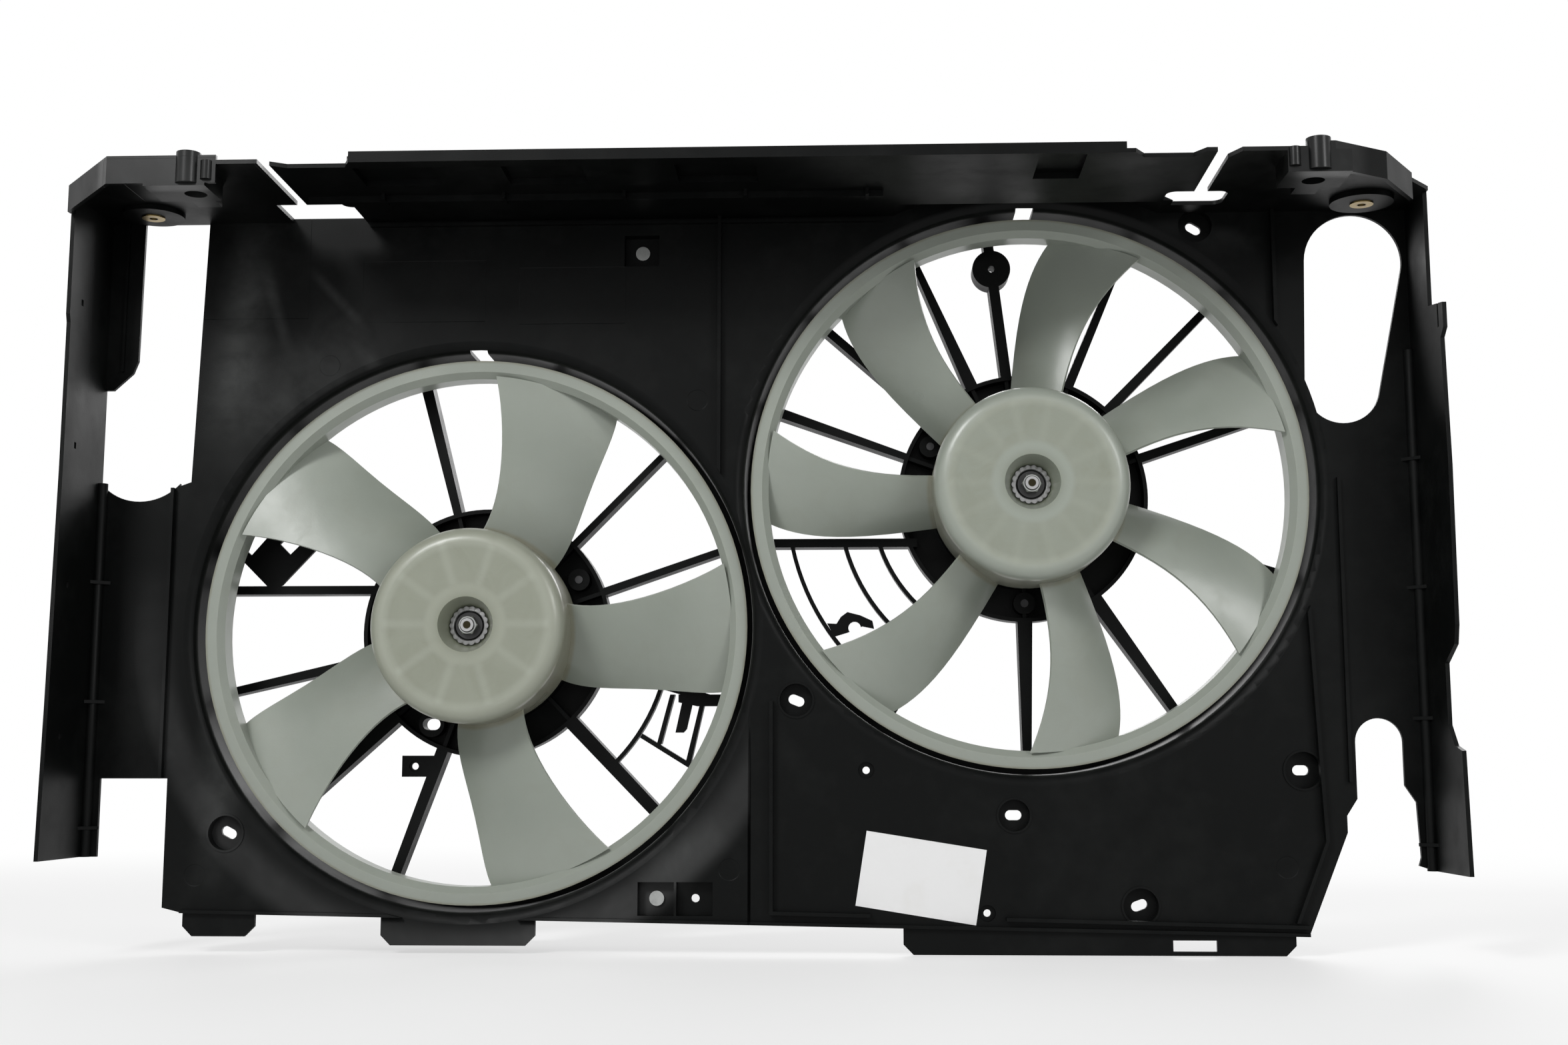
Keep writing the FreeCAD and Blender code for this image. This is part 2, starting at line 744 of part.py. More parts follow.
def pockets():
    """Square pockets: two hold a rivet, the third has a bare hole."""
    walls, hollows = [], []
    width, height, depth = cell("pocket_width"), cell("pocket_height"), cell("pocket_depth")
    for label in POCKETS:
        x, z = across(cell(f"{label}_x")), above(cell(f"{label}_z"))
        walls.append(box(label + "_box", (x - width / 2 - wall, panel_y, z - height / 2 - wall),
                         (width + wall * 2, depth + wall, height + wall * 2)))
        hollows.append(box(label + "_hollow", (x - width / 2, panel_y - 1.0, z - height / 2),
                           (width, depth + 1.0, height)))
        hollows.append(rod_y(label + "_hole", (x, panel_y + depth - 1.0, z),
                             cell("rivet_shank") + cell("rivet_clearance"), wall + 2.0))
    return walls, hollows


def bottom_tabs():
    """Three tabs hang from the bottom edge, with their outer corners cut off."""
    tabs = []
    chamfer = cell("tab_chamfer")
    for label in ("tab_a", "tab_b", "tab_c"):
        left, right = across(cell(f"{label}_left")), across(cell(f"{label}_right"))
        low, high = above(-cell(f"{label}_drop")), above(-cell("left_edge_drop") + chamfer)
        tabs.append(plate(
            label, "XZ_Plane",
            ((left, high), (left, low + chamfer), (left + chamfer, low),
             (right - chamfer, low), (right, low + chamfer), (right, high)),
            panel_y, wall,
        ))
    return tabs


def front_ribs():
    """Ribs on the front: upright ones, a bent one, the bottom edge's and the top ledge."""
    width, height = cell("rib_width"), cell("rib_height")
    front, low = panel_y - height, above(-cell("right_edge_drop"))
    end = right_web - cell("right_edge_inset")
    start = across(cell("lower_rib_x"))
    upper, corner = above(cell("upper_rib_foot")), above(cell("corner_rib_foot"))
    ribs = [
        box("upper_rib", (across(cell("upper_rib_x")), front, upper),
            (width, height, deck_z - upper)),
        box("lower_rib", (start, front, low + cell("bottom_rib_rise")),
            (width, height, cell("right_edge_drop") + cell("lower_rib_top")
             - cell("bottom_rib_rise"))),
        box("corner_rib", (right_web - cell("corner_rib_inset"), front, corner),
            (width, height, deck_z - corner)),
    ]
    outer = [(right_web + x, above(z)) for x, z in path("bend")]
    inner = [(x - width, z) for x, z in reversed(outer)]
    ribs.append(plate("bent_rib", "XZ_Plane", outer + inner, front, height))
    first, last = low + cell("bottom_rib_rise"), low + cell("bottom_rib_end")
    gaps = [across(cell(f"bottom_rib_gap_{word}")) for word in ("left", "right")]
    falls = [first + (last - first) * (x - start) / (end - start) for x in gaps]
    for word, ends in (("left", ((start, first), (gaps[0], falls[0]))),
                       ("right", ((gaps[1], falls[1]), (end, last)))):
        upper_edge = [(x, z + width) for x, z in reversed(ends)]
        ribs.append(plate(f"bottom_rib_{word}", "XZ_Plane", list(ends) + upper_edge,
                          front, height))
    stand, lip = cell("lip_stand"), cell("lip_height")
    foot, left = above(-cell("left_edge_drop")), across(-cell("panel_top_reach"))
    ribs.append(plate("bottom_lip", "XZ_Plane",
                      ((left, foot), (end, low), (end, low + lip), (left, foot + lip)),
                      panel_y - stand, stand))
    ledge = across(cell("ledge_left"))
    ribs.append(box("top_ledge", (ledge, panel_y - stand, deck_z - cell("ledge_drop")),
                    (across(cell("ledge_right")) - ledge, stand, lip)))
    return ribs


def shroud_panel():
    """The flat panel round both ducts, with its seats, pockets, ribs and tabs."""
    sheet_plate = plate("panel_sheet", "XZ_Plane", panel_outline(), panel_y, wall)
    cups, hollows = seats()
    boxes, sinks = pockets()
    eyes = []
    for label in EYELETS:
        x, z = across(cell(f"{label}_x")), above(cell(f"{label}_z"))
        cups.append(rod_y(label + "_cup", (x, panel_y, z), cell("eyelet_radius") + wall, 5.0))
        eyes.append(rod_y(label + "_dish", (x, panel_y - 1.0, z), cell("eyelet_radius"), 3.5))
        eyes.append(rod_y(label + "_hole", (x, panel_y, z), cell("eyelet_hole"), 6.0))
    x, z = AXES["right"]
    hood = cell("hood_radius") + wall
    crown = common(
        "hood_crown", rod_y("hood_crown_disc", (x, panel_y, z), hood, wall),
        box("hood_crown_limit", (x - hood, panel_y - 1.0, deck_top), (hood * 2, wall + 2.0, hood)),
    )
    solid = fuse("panel_solid", [sheet_plate, crown] + cups + boxes + bottom_tabs()
                 + front_ribs())
    slot = box("tab_slot", (across(cell("tab_slot_x")) - cell("tab_slot_length") / 2,
                            panel_y - 1.0, above(-cell("tab_c_drop")) + cell("tab_slot_rise")),
               (cell("tab_slot_length"), wall + 2.0, cell("tab_slot_width")))
    bored = cut("panel_bored", solid, [CORE["left"], CORE["right"], OUTSIDE["left"],
                                       OUTSIDE["right"]])
    tools = hollows + sinks + eyes + [slot, right_opening("panel_opening")]
    return node("shroud_panel", cut("panel_cut", bored, tools))


def right_opening(name):
    """The tall opening in the right wing: two circles and the tangents between them."""
    top = vector(cell("right_opening_top_x").value, 0, cell("right_opening_top_z").value)
    foot = vector(cell("right_opening_foot_x").value, 0, cell("right_opening_foot_z").value)
    big, small = cell("right_opening_top_r").value, cell("right_opening_foot_r").value
    along = (top - foot).normalize()
    side = vector(along.z, 0, -along.x)
    lean = math.asin((big - small) / (top - foot).Length)

    def rim(centre, radius, angle):
        """A point on a circle, the angle counted from its right side towards the top."""
        way = side * math.cos(angle) + along * math.sin(angle)
        return centre + way * radius

    edges = [
        Part.Arc(rim(top, big, -lean), rim(top, big, math.pi / 2),
                 rim(top, big, math.pi + lean)).toShape(),
        Part.LineSegment(rim(top, big, math.pi + lean), rim(foot, small, math.pi + lean)).toShape(),
        Part.Arc(rim(foot, small, math.pi + lean), rim(foot, small, -math.pi / 2),
                 rim(foot, small, -lean)).toShape(),
        Part.LineSegment(rim(foot, small, -lean), rim(top, big, -lean)).toShape(),
    ]
    prism = Part.Face(Part.Wire(edges)).extrude(vector(0, wall.value + 4.0, 0))
    return solid_feature(name, prism, (right_web, panel_y - 2.0, above(0.0)))


shroud_panel()


# --------------------------------------------------------------------------- side wings
def gussets(side, wall_x, rises):
    """Small triangular webs in the corner between a wing's web and its side wall."""
    reach = cell("gusset") if side == "left" else -cell("gusset")
    webs = []
    for number, rise in enumerate(rises, start=1):
        low = above(rise)
        webs.append(plate(
            f"{side}_gusset_{number}", "XY_Plane",
            ((wall_x, panel_y), (wall_x, panel_y - cell("gusset")), (wall_x + reach, panel_y)),
            low, cell("gusset_thickness"),
        ))
    return webs


def wall_windows(side, wall_x, rises):
    """Small square holes in a side wall."""
    return [
        box(f"{side}_window_{number}", (wall_x - 1.0, panel_y - 43.0, above(rise)),
            (wall + 2.0, 3.0, 4.0))
        for number, rise in enumerate(rises, start=1)
    ]


def left_side_wing():
    """The left web with its dished top edge, the upper flange and the side wall."""
    inner = left_wall + wall
    leg = inner + cell("left_leg_width") - wall
    foot, web_top = above(-cell("left_leg_drop")), above(cell("left_web_top"))
    chord, dish = left_web - inner, cell("left_web_dish")
    web = plate(
        "left_web", "XZ_Plane",
        ((inner, foot), (leg, foot), (leg, above(-cell("left_web_drop"))),
         (left_web, above(-cell("left_web_drop"))),
         (left_web, web_top, (chord * chord / 4.0 + dish * dish) / (dish * 2.0), "right"),
         (inner, web_top)),
        panel_y, wall,
    )
    flange_edge = across(-cell("left_flange_reach"))
    start = above(cell("left_flange_foot"))
    flange = plate(
        "left_flange", "XZ_Plane",
        ((inner, start), (inner + 5.0, start), (flange_edge - 4.0, start + 11.0),
         (flange_edge - 1.0, start + 19.0), (flange_edge, deck_z), (inner, deck_z)),
        panel_y, wall,
    )
    ridge = box("left_flange_ridge", (inner + 10.0, panel_y - 2.0, start + 12.0),
                (1.5, 2.5, deck_z - start - 12.0))
    inset = cell("corner_bead_inset")
    bead = rod_z("left_corner_bead", (inner + inset, panel_y - inset, foot), cell("corner_bead"),
                 web_top - foot)
    front = panel_y - cell("side_wall_depth")
    side = plate(
        "left_side_wall", "YZ_Plane",
        [(panel_back, deck_z), (front - 1.5, deck_z)]
        + [(front - stand, above(z)) for stand, z in path("left_edge")]
        + [(front - 6.0, foot), (panel_back, foot)],
        left_wall, wall,
    )
    step = box("left_web_step", (left_web - 4.5, panel_y - 4.0, above(-cell("left_web_drop"))),
               (2.0, 4.0, cell("left_web_drop") + cell("panel_step_rise") - 4.0))
    solid = fuse("left_wing_solid", [web, flange, ridge, bead, side, step]
                 + gussets("left", inner, LEFT_GUSSETS))
    windows = wall_windows("left", left_wall, (195.0, 106.0, 21.0, -70.0))
    return node("left_side_wing", cut("left_wing_cut", solid, windows))


def right_side_wing():
    """The right web with its openings, and the side wall with its stepped front edge."""
    inner = right_wall - wall
    slot_l, slot_r = right_web + cell("right_slot_left"), right_web + cell("right_slot_right")
    slot_top = above(cell("right_slot_rise"))
    leg = above(-cell("right_leg_drop"))
    web = plate(
        "right_web", "XZ_Plane",
        ((right_web, deck_z), (right_web, above(-115.0)), (slot_l, above(-105.0)),
         (slot_l, slot_top, (slot_r - slot_l) / 2 + 0.001, "right"), (slot_r, slot_top),
         (slot_r, above(-97.0)), (slot_r + 6.5, above(-107.0)), (slot_r + 8.0, leg + 8.0),
         (slot_r + 6.5, leg + 3.0), (inner, leg), (inner, deck_z)),
        panel_y, wall,
    )
    front = panel_y - cell("side_wall_depth")
    back = front + cell("side_wall_step")
    side = plate(
        "right_side_wall", "YZ_Plane",
        [(panel_back, deck_z), (back, deck_z)]
        + [(front - stand, above(z)) for stand, z in path("right_edge")]
        + [(front - 5.0, leg), (panel_back, leg)],
        inner, wall,
    )
    inset = cell("corner_bead_inset")
    bead = rod_z("right_corner_bead", (inner - inset, panel_y - inset, leg), cell("corner_bead"),
                 above(cell("right_bead_top")) - leg)
    step = box("right_web_step", (right_web + 1.5, panel_y - 3.0, above(-95.0)), (2.0, 3.0, 185.0))
    slit = box("right_clip_slit", (inner - 1.0, front + 1.5, above(171.0)), (wall + 2.0, 2.5, 16.0))
    solid = fuse("right_wing_solid", [web, side, step, bead]
                 + gussets("right", inner, RIGHT_GUSSETS))
    return node("right_side_wing",
                cut("right_wing_cut", solid,
                    [right_opening("right_wing_opening"), slit, CORE["right"]]))


left_side_wing()
right_side_wing()


# --------------------------------------------------------------------------- top deck
def top_deck():
    """The deck over both fans: a sheet with raised pans, ribs and the right fan's hood."""
    left, right = across(cell("left_split")), right_web + cell("right_split")
    notch_r, notch_y = across(cell("left_notch_right")), panel_y - cell("left_notch_depth")
    pocket_l = right_web + cell("right_notch_left")
    pocket_back = panel_y - cell("right_notch_back")
    pocket_front = pocket_back - cell("right_notch_depth")
    seam, turn = right + 4.0, cell("notch_round")
    low, high = deck_front, deck_front + cell("deck_front_dip")
    sheet_plate = plate(
        "deck_sheet", "XY_Plane",
        ((left, low + 4.0), (left + 9.0, high), (left + 43.0, high), (left + 47.0, low),
         (right - 46.0, low), (right - 40.0, high), (right - 12.0, high), (right - 6.0, low),
         (right, low), (right, pocket_front), (pocket_l + turn, pocket_front, turn, "right"),
         (pocket_l, pocket_front + turn), (pocket_l, pocket_back - turn, turn, "right"),
         (pocket_l + turn, pocket_back), (seam, pocket_back), (seam, panel_y),
         (notch_r, panel_y), (notch_r, notch_y + turn, turn, "left"),
         (notch_r - turn, notch_y), (left, notch_y)),
        deck_z, wall,
    )
    parts, hollows = [sheet_plate], []
    width, depth, rise = cell("pan_width"), cell("pan_depth"), cell("pan_rise")
    pan_front = panel_y - cell("pan_setback") - depth
    for label in PANS:
        x = across(cell(f"{label}_x")) - width / 2
        parts.append(box(label + "_cover", (x - wall, pan_front - wall, deck_z),
                         (width + wall * 2, depth + wall * 2, rise + wall)))
        hollows.append(box(label + "_hollow", (x, pan_front, deck_z - 1.0),
                           (width, depth, rise + 1.0)))
    x, front = across(cell("long_pan_x") - cell("long_pan_width") / 2), deck_front + wall
    parts.append(box("long_pan_cover", (x - wall, front - wall, deck_z),
                     (cell("long_pan_width") + wall * 2, cell("long_pan_depth") + wall * 2,
                      rise + wall)))
    hollows.append(box("long_pan_hollow", (x, front, deck_z - 1.0),
                       (cell("long_pan_width"), cell("long_pan_depth"), rise + 1.0)))
    lip = left + 47.0
    parts.append(box("deck_front_lip", (lip, deck_front, deck_z),
                     (across(cell("deck_lip_right")) - lip, wall, rise + wall)))
    rib_y = panel_y - cell("deck_rib_setback")
    height, thick = cell("deck_rib_height"), cell("deck_rib_width")
    parts.append(box("deck_long_rib", (across(cell("deck_rib_left")), rib_y, deck_z - height),
                     (cell("deck_rib_length"), thick, height + 0.5)))
    cross = cell("deck_cross_rib")
    for number in range(5):
        x = across(cell("deck_rib_x") + cell("deck_rib_pitch") * number)
        parts.append(box(f"deck_cross_rib_{number}", (x, rib_y - 5.0, deck_z - height),
                         (thick, cross, height + 0.5)))
    x, z = AXES["right"]
    hood, deep = cell("hood_radius"), cell("hood_depth")
    arch = common(
        "hood_arch", rod_y("hood_outside", (x, panel_y - deep, z), hood + wall, deep),
        box("hood_limit", (x - hood, panel_y - deep - 1.0, deck_z), (hood * 2, deep + 2.0, hood)),
    )
    parts.append(arch)
    hollows.append(rod_y("hood_inside", (x, panel_y - deep + wall, z), hood, deep))
    return node("top_deck", cut("deck_cut", fuse("deck_solid", parts), hollows))


def fitting_x(kind, side):
    """The left bracket's fittings are placed from the fan's axis, the right's from the edge."""
    place_x = cell(f"{kind}_{side}_x")
    return across(place_x) if side == "left" else right_web + place_x


def bracket_fittings(side):
    """What both corner brackets carry: the pin block, its bead and the insert's pad."""
    pin_x, seat_x = fitting_x("pin", side), fitting_x("insert", side)
    pin_y = panel_y - cell("pin_setback")
    width, depth = cell("pin_block_width"), cell("pin_block_depth")
    lean = 0.7 if side == "left" else 0.5
    low = deck_z - cell("pin_block_drop")
    block = box(f"{side}_pin_block", (pin_x - width * lean, deck_front, low),
                (width, depth, cell("pin_block_drop") + 0.5))
    rib = box(f"{side}_pin_rib", (pin_x - 7.0, deck_front + depth - 1.0, low),
              (14.0, 13.0, cell("pin_block_drop") + 0.5))
    bead_y = deck_front + cell("bead_radius") - cell("bead_stand")
    bead_low = deck_z - cell("bracket_wall_drop")
    bead_length = cell("bracket_wall_drop") + cell("bead_rise")
    bead = rod_z(f"{side}_bead", (pin_x, bead_y, bead_low), cell("bead_radius"), bead_length)
    offset = 11.5 if side == "left" else -14.0
    small = rod_z(f"{side}_small_bead", (pin_x + offset, bead_y - 2.0, bead_low + 2.0),
                  cell("small_bead"), cell("bracket_wall_drop"))
    seat_y = panel_y - cell("insert_setback")
    pad = rod_z(f"{side}_insert_pad", (seat_x, seat_y, deck_z - cell("insert_pad_drop")),
                cell("insert_pad"), cell("insert_pad_drop") + 0.5)
    sleeve = rod_z(f"{side}_insert_boss", (seat_x, seat_y, deck_z),
                   cell("insert_body") + wall, cell("insert_length") - cell("insert_pad_drop"))
    pin_hole = rod_z(f"{side}_pin_hole", (pin_x, pin_y, low - 1.0), cell("pin_hole"),
                     cell("pin_block_drop") + wall + 12.0)
    insert_hole = rod_z(f"{side}_insert_hole", (seat_x, seat_y, deck_z - 5.0),
                        cell("insert_body") + cell("press_gap"), cell("insert_length") + 6.0)
    return [block, rib, bead, small, pad, sleeve], [pin_hole, insert_hole]


def left_top_bracket():
    """The left corner of the deck, with its hanging front wall."""
    inner, outer = left_wall + wall, left_wall
    back = across(cell("left_notch_left"))
    corner = left_wall + cell("left_corner_width")
    side_y = panel_y - cell("left_corner_depth")
    skirt_end = fitting_x("pin", "left") + cell("skirt_overlap")
    slit = across(cell("left_split") - cell("deck_slot"))
    notch_y = panel_y - cell("left_notch_depth")
    sheet_plate = plate(
        "left_bracket_sheet", "XY_Plane",
        ((outer, panel_back), (outer, side_y), (corner, deck_front), (slit, deck_front),
         (slit, notch_y), (back, notch_y), (back, panel_y),
         (across(-cell("panel_top_reach")), panel_y),
         (across(-cell("panel_top_reach")), panel_back)),
        deck_z, wall,
    )
    drop, rise = cell("bracket_wall_drop"), cell("bracket_wall_rise")
    skirt = plate(
        "left_bracket_wall", "XY_Plane",
        ((outer, side_y), (corner, deck_front), (skirt_end, deck_front),
         (skirt_end, deck_front + wall), (corner + 1.0, deck_front + wall),
         (inner, side_y + 1.0), (inner, side_y + 4.0), (outer, side_y + 4.0)),
        deck_z - drop, drop + rise,
    )
    parts, hollows = bracket_fittings("left")
    solid = fuse("left_bracket_solid", [sheet_plate, skirt] + parts)
    return node("left_top_bracket", cut("left_bracket_cut", solid, hollows))


def right_top_bracket():
    """The right corner of the deck, with its rounded outer edge."""
    outer = right_wall
    seam = right_web + cell("right_split") + 4.0
    slit = seam + cell("right_deck_slot") - 4.0
    pocket, turn = right_web + cell("right_notch_right"), cell("notch_round")
    pocket_back = panel_y - cell("right_notch_back")
    pocket_front = pocket_back - cell("right_notch_depth")
    rim = [(outer + x, deck_front + y) for x, y in path("curve")]
    sheet_plate = plate(
        "right_bracket_sheet", "XY_Plane",
        [(slit + 6.0, deck_front)] + rim
        + [(outer, panel_back), (right_web, panel_back), (right_web, panel_y), (seam, panel_y),
           (seam, pocket_back), (pocket - turn, pocket_back, turn, "right"),
           (pocket, pocket_back - turn), (pocket, pocket_front + turn, turn, "right"),
           (pocket - turn, pocket_front), (slit, pocket_front), (slit, deck_front + 12.0)],
        deck_z, wall,
    )
    drop, rise = cell("bracket_wall_drop"), cell("bracket_wall_rise")
    start = fitting_x("pin", "right") - 7.0
    back = [(x - wall * 0.8, y + wall * 0.9) for x, y in reversed(rim[:-1])]
    skirt = plate(
        "right_bracket_wall", "XY_Plane",
        [(start, deck_front)] + rim[:-1] + back + [(start, deck_front + wall)],
        deck_z - drop, drop + rise,
    )
    parts, hollows = bracket_fittings("right")
    solid = fuse("right_bracket_solid", [sheet_plate, skirt] + parts)
    return node("right_top_bracket", cut("right_bracket_cut", solid, hollows))


top_deck()
left_top_bracket()
right_top_bracket()


# --------------------------------------------------------------------------- small panel pieces
def threaded_insert(side):
    """A brass insert pressed into the bracket from below, flange against its pad."""
    x, y = fitting_x("insert", side), panel_y - cell("insert_setback")
    foot = deck_z - cell("insert_pad_drop")
    rim = cell("insert_flange_height")
    solid = fuse(f"{side}_insert_solid", [
        rod_z(f"{side}_insert_flange", (x, y, foot - rim), cell("insert_flange"), rim),
        rod_z(f"{side}_insert_body", (x, y, foot), cell("insert_body"), cell("insert_length")),
    ])
    bore = rod_z(f"{side}_insert_bore", (x, y, foot - rim - 1.0), cell("insert_thread"),
                 cell("insert_length") + rim + 2.0)
    return node(f"{side}_threaded_insert", cut(f"{side}_insert_cut", solid, [bore]))


def panel_rivets():
    """A rivet through the floor of each of the first two pockets."""
    floor = panel_y + cell("pocket_depth")
    head, tail = cell("rivet_head_height"), floor + wall
    rivets = []
    for label in ("pocket_a", "pocket_b"):
        x, z = across(cell(f"{label}_x")), above(cell(f"{label}_z"))
        rivets.append(fuse(label + "_rivet", [
            rod_y(label + "_rivet_head", (x, floor - head, z), cell("rivet_head"), head),
            rod_y(label + "_rivet_shank", (x, floor, z), cell("rivet_shank"), wall),
            rod_y(label + "_rivet_tail", (x, tail, z), cell("rivet_head") - 0.5, head),
        ]))
    return node("panel_rivets", group("rivet_pair", rivets))


def blank_label():
    """A plain label stuck on the panel's front."""
    length, height, thick = cell("label_length"), cell("label_height"), cell("label_thickness")
    item = box("label_sheet", (-length / 2, -thick, -height / 2), (length, thick, height),
               (across(cell("label_x")), panel_y, above(cell("label_z"))), cell("label_turn"))
    return node("blank_label", item)


threaded_insert("left")
threaded_insert("right")
panel_rivets()
blank_label()


# --------------------------------------------------------------------------- motor carriers
def outline(label, side):
    """One of the outlines, placed from a fan's axis."""
    x, z = AXES[side]
    return [(x + a, z + b) for a, b in path(label)]


def guard_rib(name, side, radius, first, last):
    """A thin rib on an arc about a fan's axis, between two angles in degrees."""
    x, z = AXES[side]
    half = cell("guard_width") / 2
    ways = [(math.cos(math.radians(angle)), math.sin(math.radians(angle)))
            for angle in (first, last)]
    start, end = [[(x + (radius + edge) * way[0], z + (radius + edge) * way[1])
                   for edge in (half, -half)] for way in ways]
    return plate(
        name, "XZ_Plane",
        ((*start[0], radius + half, "left"), end[0], (*end[1], radius - half, "right"), start[1]),
        barrel_end + cell("spoke_setback"), cell("guard_depth"),
    )


def carrier_ring(side, front, deep):
    """The ring that carries the motor: a channel open to the fan, with ribs and bosses."""
    axis = AXES[side]
    centre = (axis[0], 0.0, axis[1])
    inner, outer = cell("carrier_inner"), cell("carrier_outer")
    parts = [
        tube(f"{side}_ring_floor", axis, carrier_end - wall, outer, inner, wall),
        tube(f"{side}_ring_outside", axis, front, outer, outer - wall, deep),
        tube(f"{side}_ring_inside", axis, front, inner + wall, inner, deep),
    ]
    for angle, _, _ in SPOKES[side]:
        parts.append(box(f"{side}_ring_rib_{round(angle)}", (inner + 1.0, front + 2.0, -wall / 2),
                         (outer - inner - 2.0, deep - 2.0, wall), centre, angle))
    holes = []
    for angle in EARS:
        parts.append(rod_out(f"{side}_screw_boss_{angle}", axis, angle, cell("ear_pitch"),
                             front + 1.0, cell("screw_boss"), deep - 1.0))
        holes.append(rod_out(f"{side}_boss_hole_{angle}", axis, angle, cell("ear_pitch"),
                             front - 1.0, cell("screw_radius") + cell("press_gap"), deep + 2.0))
    return parts, holes


def left_carrier_fittings(front, deep):
    """Harness bracket, clip frame, tab and slotted seat round the left motor."""
    x, z = AXES["left"]
    parts = [plate(label, "XZ_Plane", outline(label, "left"), front, depth)
             for label, depth in (("harness", wall), ("clip_bar", cell("guard_depth")),
                                  ("clip_block", wall), ("clip_post", cell("guard_depth")),
                                  ("clip_rail", cell("guard_depth")), ("clip_head", wall),
                                  ("harness_tab", wall))]
    parts.append(guard_rib("left_guard", "left", cell("guard_middle"), 313.0, 344.0))
    slot_x, slot_z = x + cell("carrier_slot_x"), z + cell("carrier_slot_z")
    parts.append(rod_y("slot_boss", (slot_x, front + 1.0, slot_z),
                       cell("carrier_slot_length") / 2 + wall, deep - 1.0))
    hole_x, hole_z = x + cell("tab_hole_x"), z + cell("tab_hole_z")
    holes = slot_y("carrier_slot", slot_x, slot_z, cell("carrier_slot_length"),
                   cell("carrier_slot_width"), 0.0, front - 1.0, deep + 2.0)
    holes.append(plate("harness_hole", "XZ_Plane", outline("harness_hole", "left"),
                       front - 1.0, wall + 2.0))
    holes.append(rod_y("tab_dish", (hole_x, front - 1.0, hole_z), cell("tab_dish"), 2.0))
    holes.append(rod_y("tab_hole", (hole_x, front, hole_z), cell("eyelet_hole"), wall + 1.0))
    return parts, holes


def right_carrier_fittings(front, deep):
    """Three curved guard ribs, a cable hook and a boss on one spoke."""
    parts = [guard_rib(f"right_guard_{word}", "right", cell(f"guard_{word}"), first, 238.0)
             for word, first in (("inner", 197.0), ("middle", 194.0), ("outer", 191.0))]
    parts.append(plate("cable_hook", "XZ_Plane", outline("hook", "right"), front, wall))
    (notch_x, notch_z), = outline("hook_notch", "right")
    boss = (AXES["right"], cell("spoke_boss_turn"), cell("spoke_boss_reach"))
    parts.append(rod_out("right_spoke_boss", *boss, front, cell("spoke_boss"), deep))
    holes = [
        rod_y("cable_notch", (notch_x, front - 1.0, notch_z), cell("guard_depth") / 2, wall + 2.0),
        rod_out("right_spoke_boss_hole", *boss, front - 1.0, cell("eyelet_hole"), deep + 2.0),
    ]
    return parts, holes


def motor_carrier(side):
    """The barrel's rear rim and lip, the spokes and the ring that they hold."""
    axis = AXES[side]
    bore, outer = BORE[side], cell("carrier_outer")
    front = barrel_end + cell("spoke_setback")
    deep = carrier_end - front
    parts, holes = carrier_ring(side, front, deep)
    parts.append(tube(f"{side}_rear_rim", axis, barrel_end, bore + wall, bore, cell("rim_depth")))
    parts.append(tube(f"{side}_rear_lip", axis, barrel_end, bore + 1.0,
                      RING[side] - cell("rear_lip"), wall))
    for angle, root, tip in SPOKES[side]:
        near, far = outer - 1.0, bore + 1.0
        parts.append(plate(
            f"{side}_spoke_{round(angle)}", "XZ_Plane",
            ((near, -root / 2), (far, -tip / 2), (far, tip / 2), (near, root / 2)),
            front, deep, (axis[0], 0.0, axis[1]), angle,
        ))
    parts.append(box(f"{side}_arm", (axis[0] - bore, front, axis[1] + cell(f"{side}_arm_rise")),
                     (bore - cell("ear_pitch"), deep, cell("arm_width"))))
    fittings = left_carrier_fittings if side == "left" else right_carrier_fittings
    more, gaps = fittings(front, deep)
    limit = rod_y(f"{side}_carrier_limit", (axis[0], barrel_end, axis[1]), bore + wall,
                  cell("rim_depth"))
    solid = common(f"{side}_carrier_form", fuse(f"{side}_carrier_solid", parts + more), limit)
    return node(f"{side}_motor_carrier",
                cut(f"{side}_carrier_cut", solid, holes + gaps + [NOTCH[side]]))


motor_carrier("left")
motor_carrier("right")


# --------------------------------------------------------------------------- fans
def blade(side, axis, number):
    """One swept blade: cambered sections lofted outwards, turned to its own place."""
    plan = BLADES[side]
    middle = (ring_y + cell("ring_depth") / 2).value
    thick, bow = cell("blade_thickness").value, cell("blade_bow").value
    sections = []
    for reach, lead, trail, half in plan["stations"]:
        first, last = vector(reach, middle - half, lead), vector(reach, middle + half, trail)
        normal = vector(1, 0, 0).cross(last - first).normalize()
        normal = normal if normal.y < 0 else -normal
        rim = normal * (thick * 0.3)
        crest, mean = normal * (bow + thick / 2), (first + last) * 0.5
        trough = normal * (bow - thick / 2)
        front = Part.Arc(first + rim, mean + crest, last + rim).toShape()
        back = Part.Arc(last - rim, mean + trough, first - rim).toShape()
        ends = [Part.LineSegment(last + rim, last - rim).toShape(),
                Part.LineSegment(first - rim, first + rim).toShape()]
        sections.append(Part.Wire([front, ends[0], back, ends[1]]))
    shape = Part.makeLoft(sections, True)
    angle = plan["first"] + 360.0 / plan["count"] * number
    item = doc.addObject("Part::Feature", f"{side}_blade_{number + 1}")
    item.Shape = shape
    return place(item, (axis[0], 0.0, axis[1]), angle)


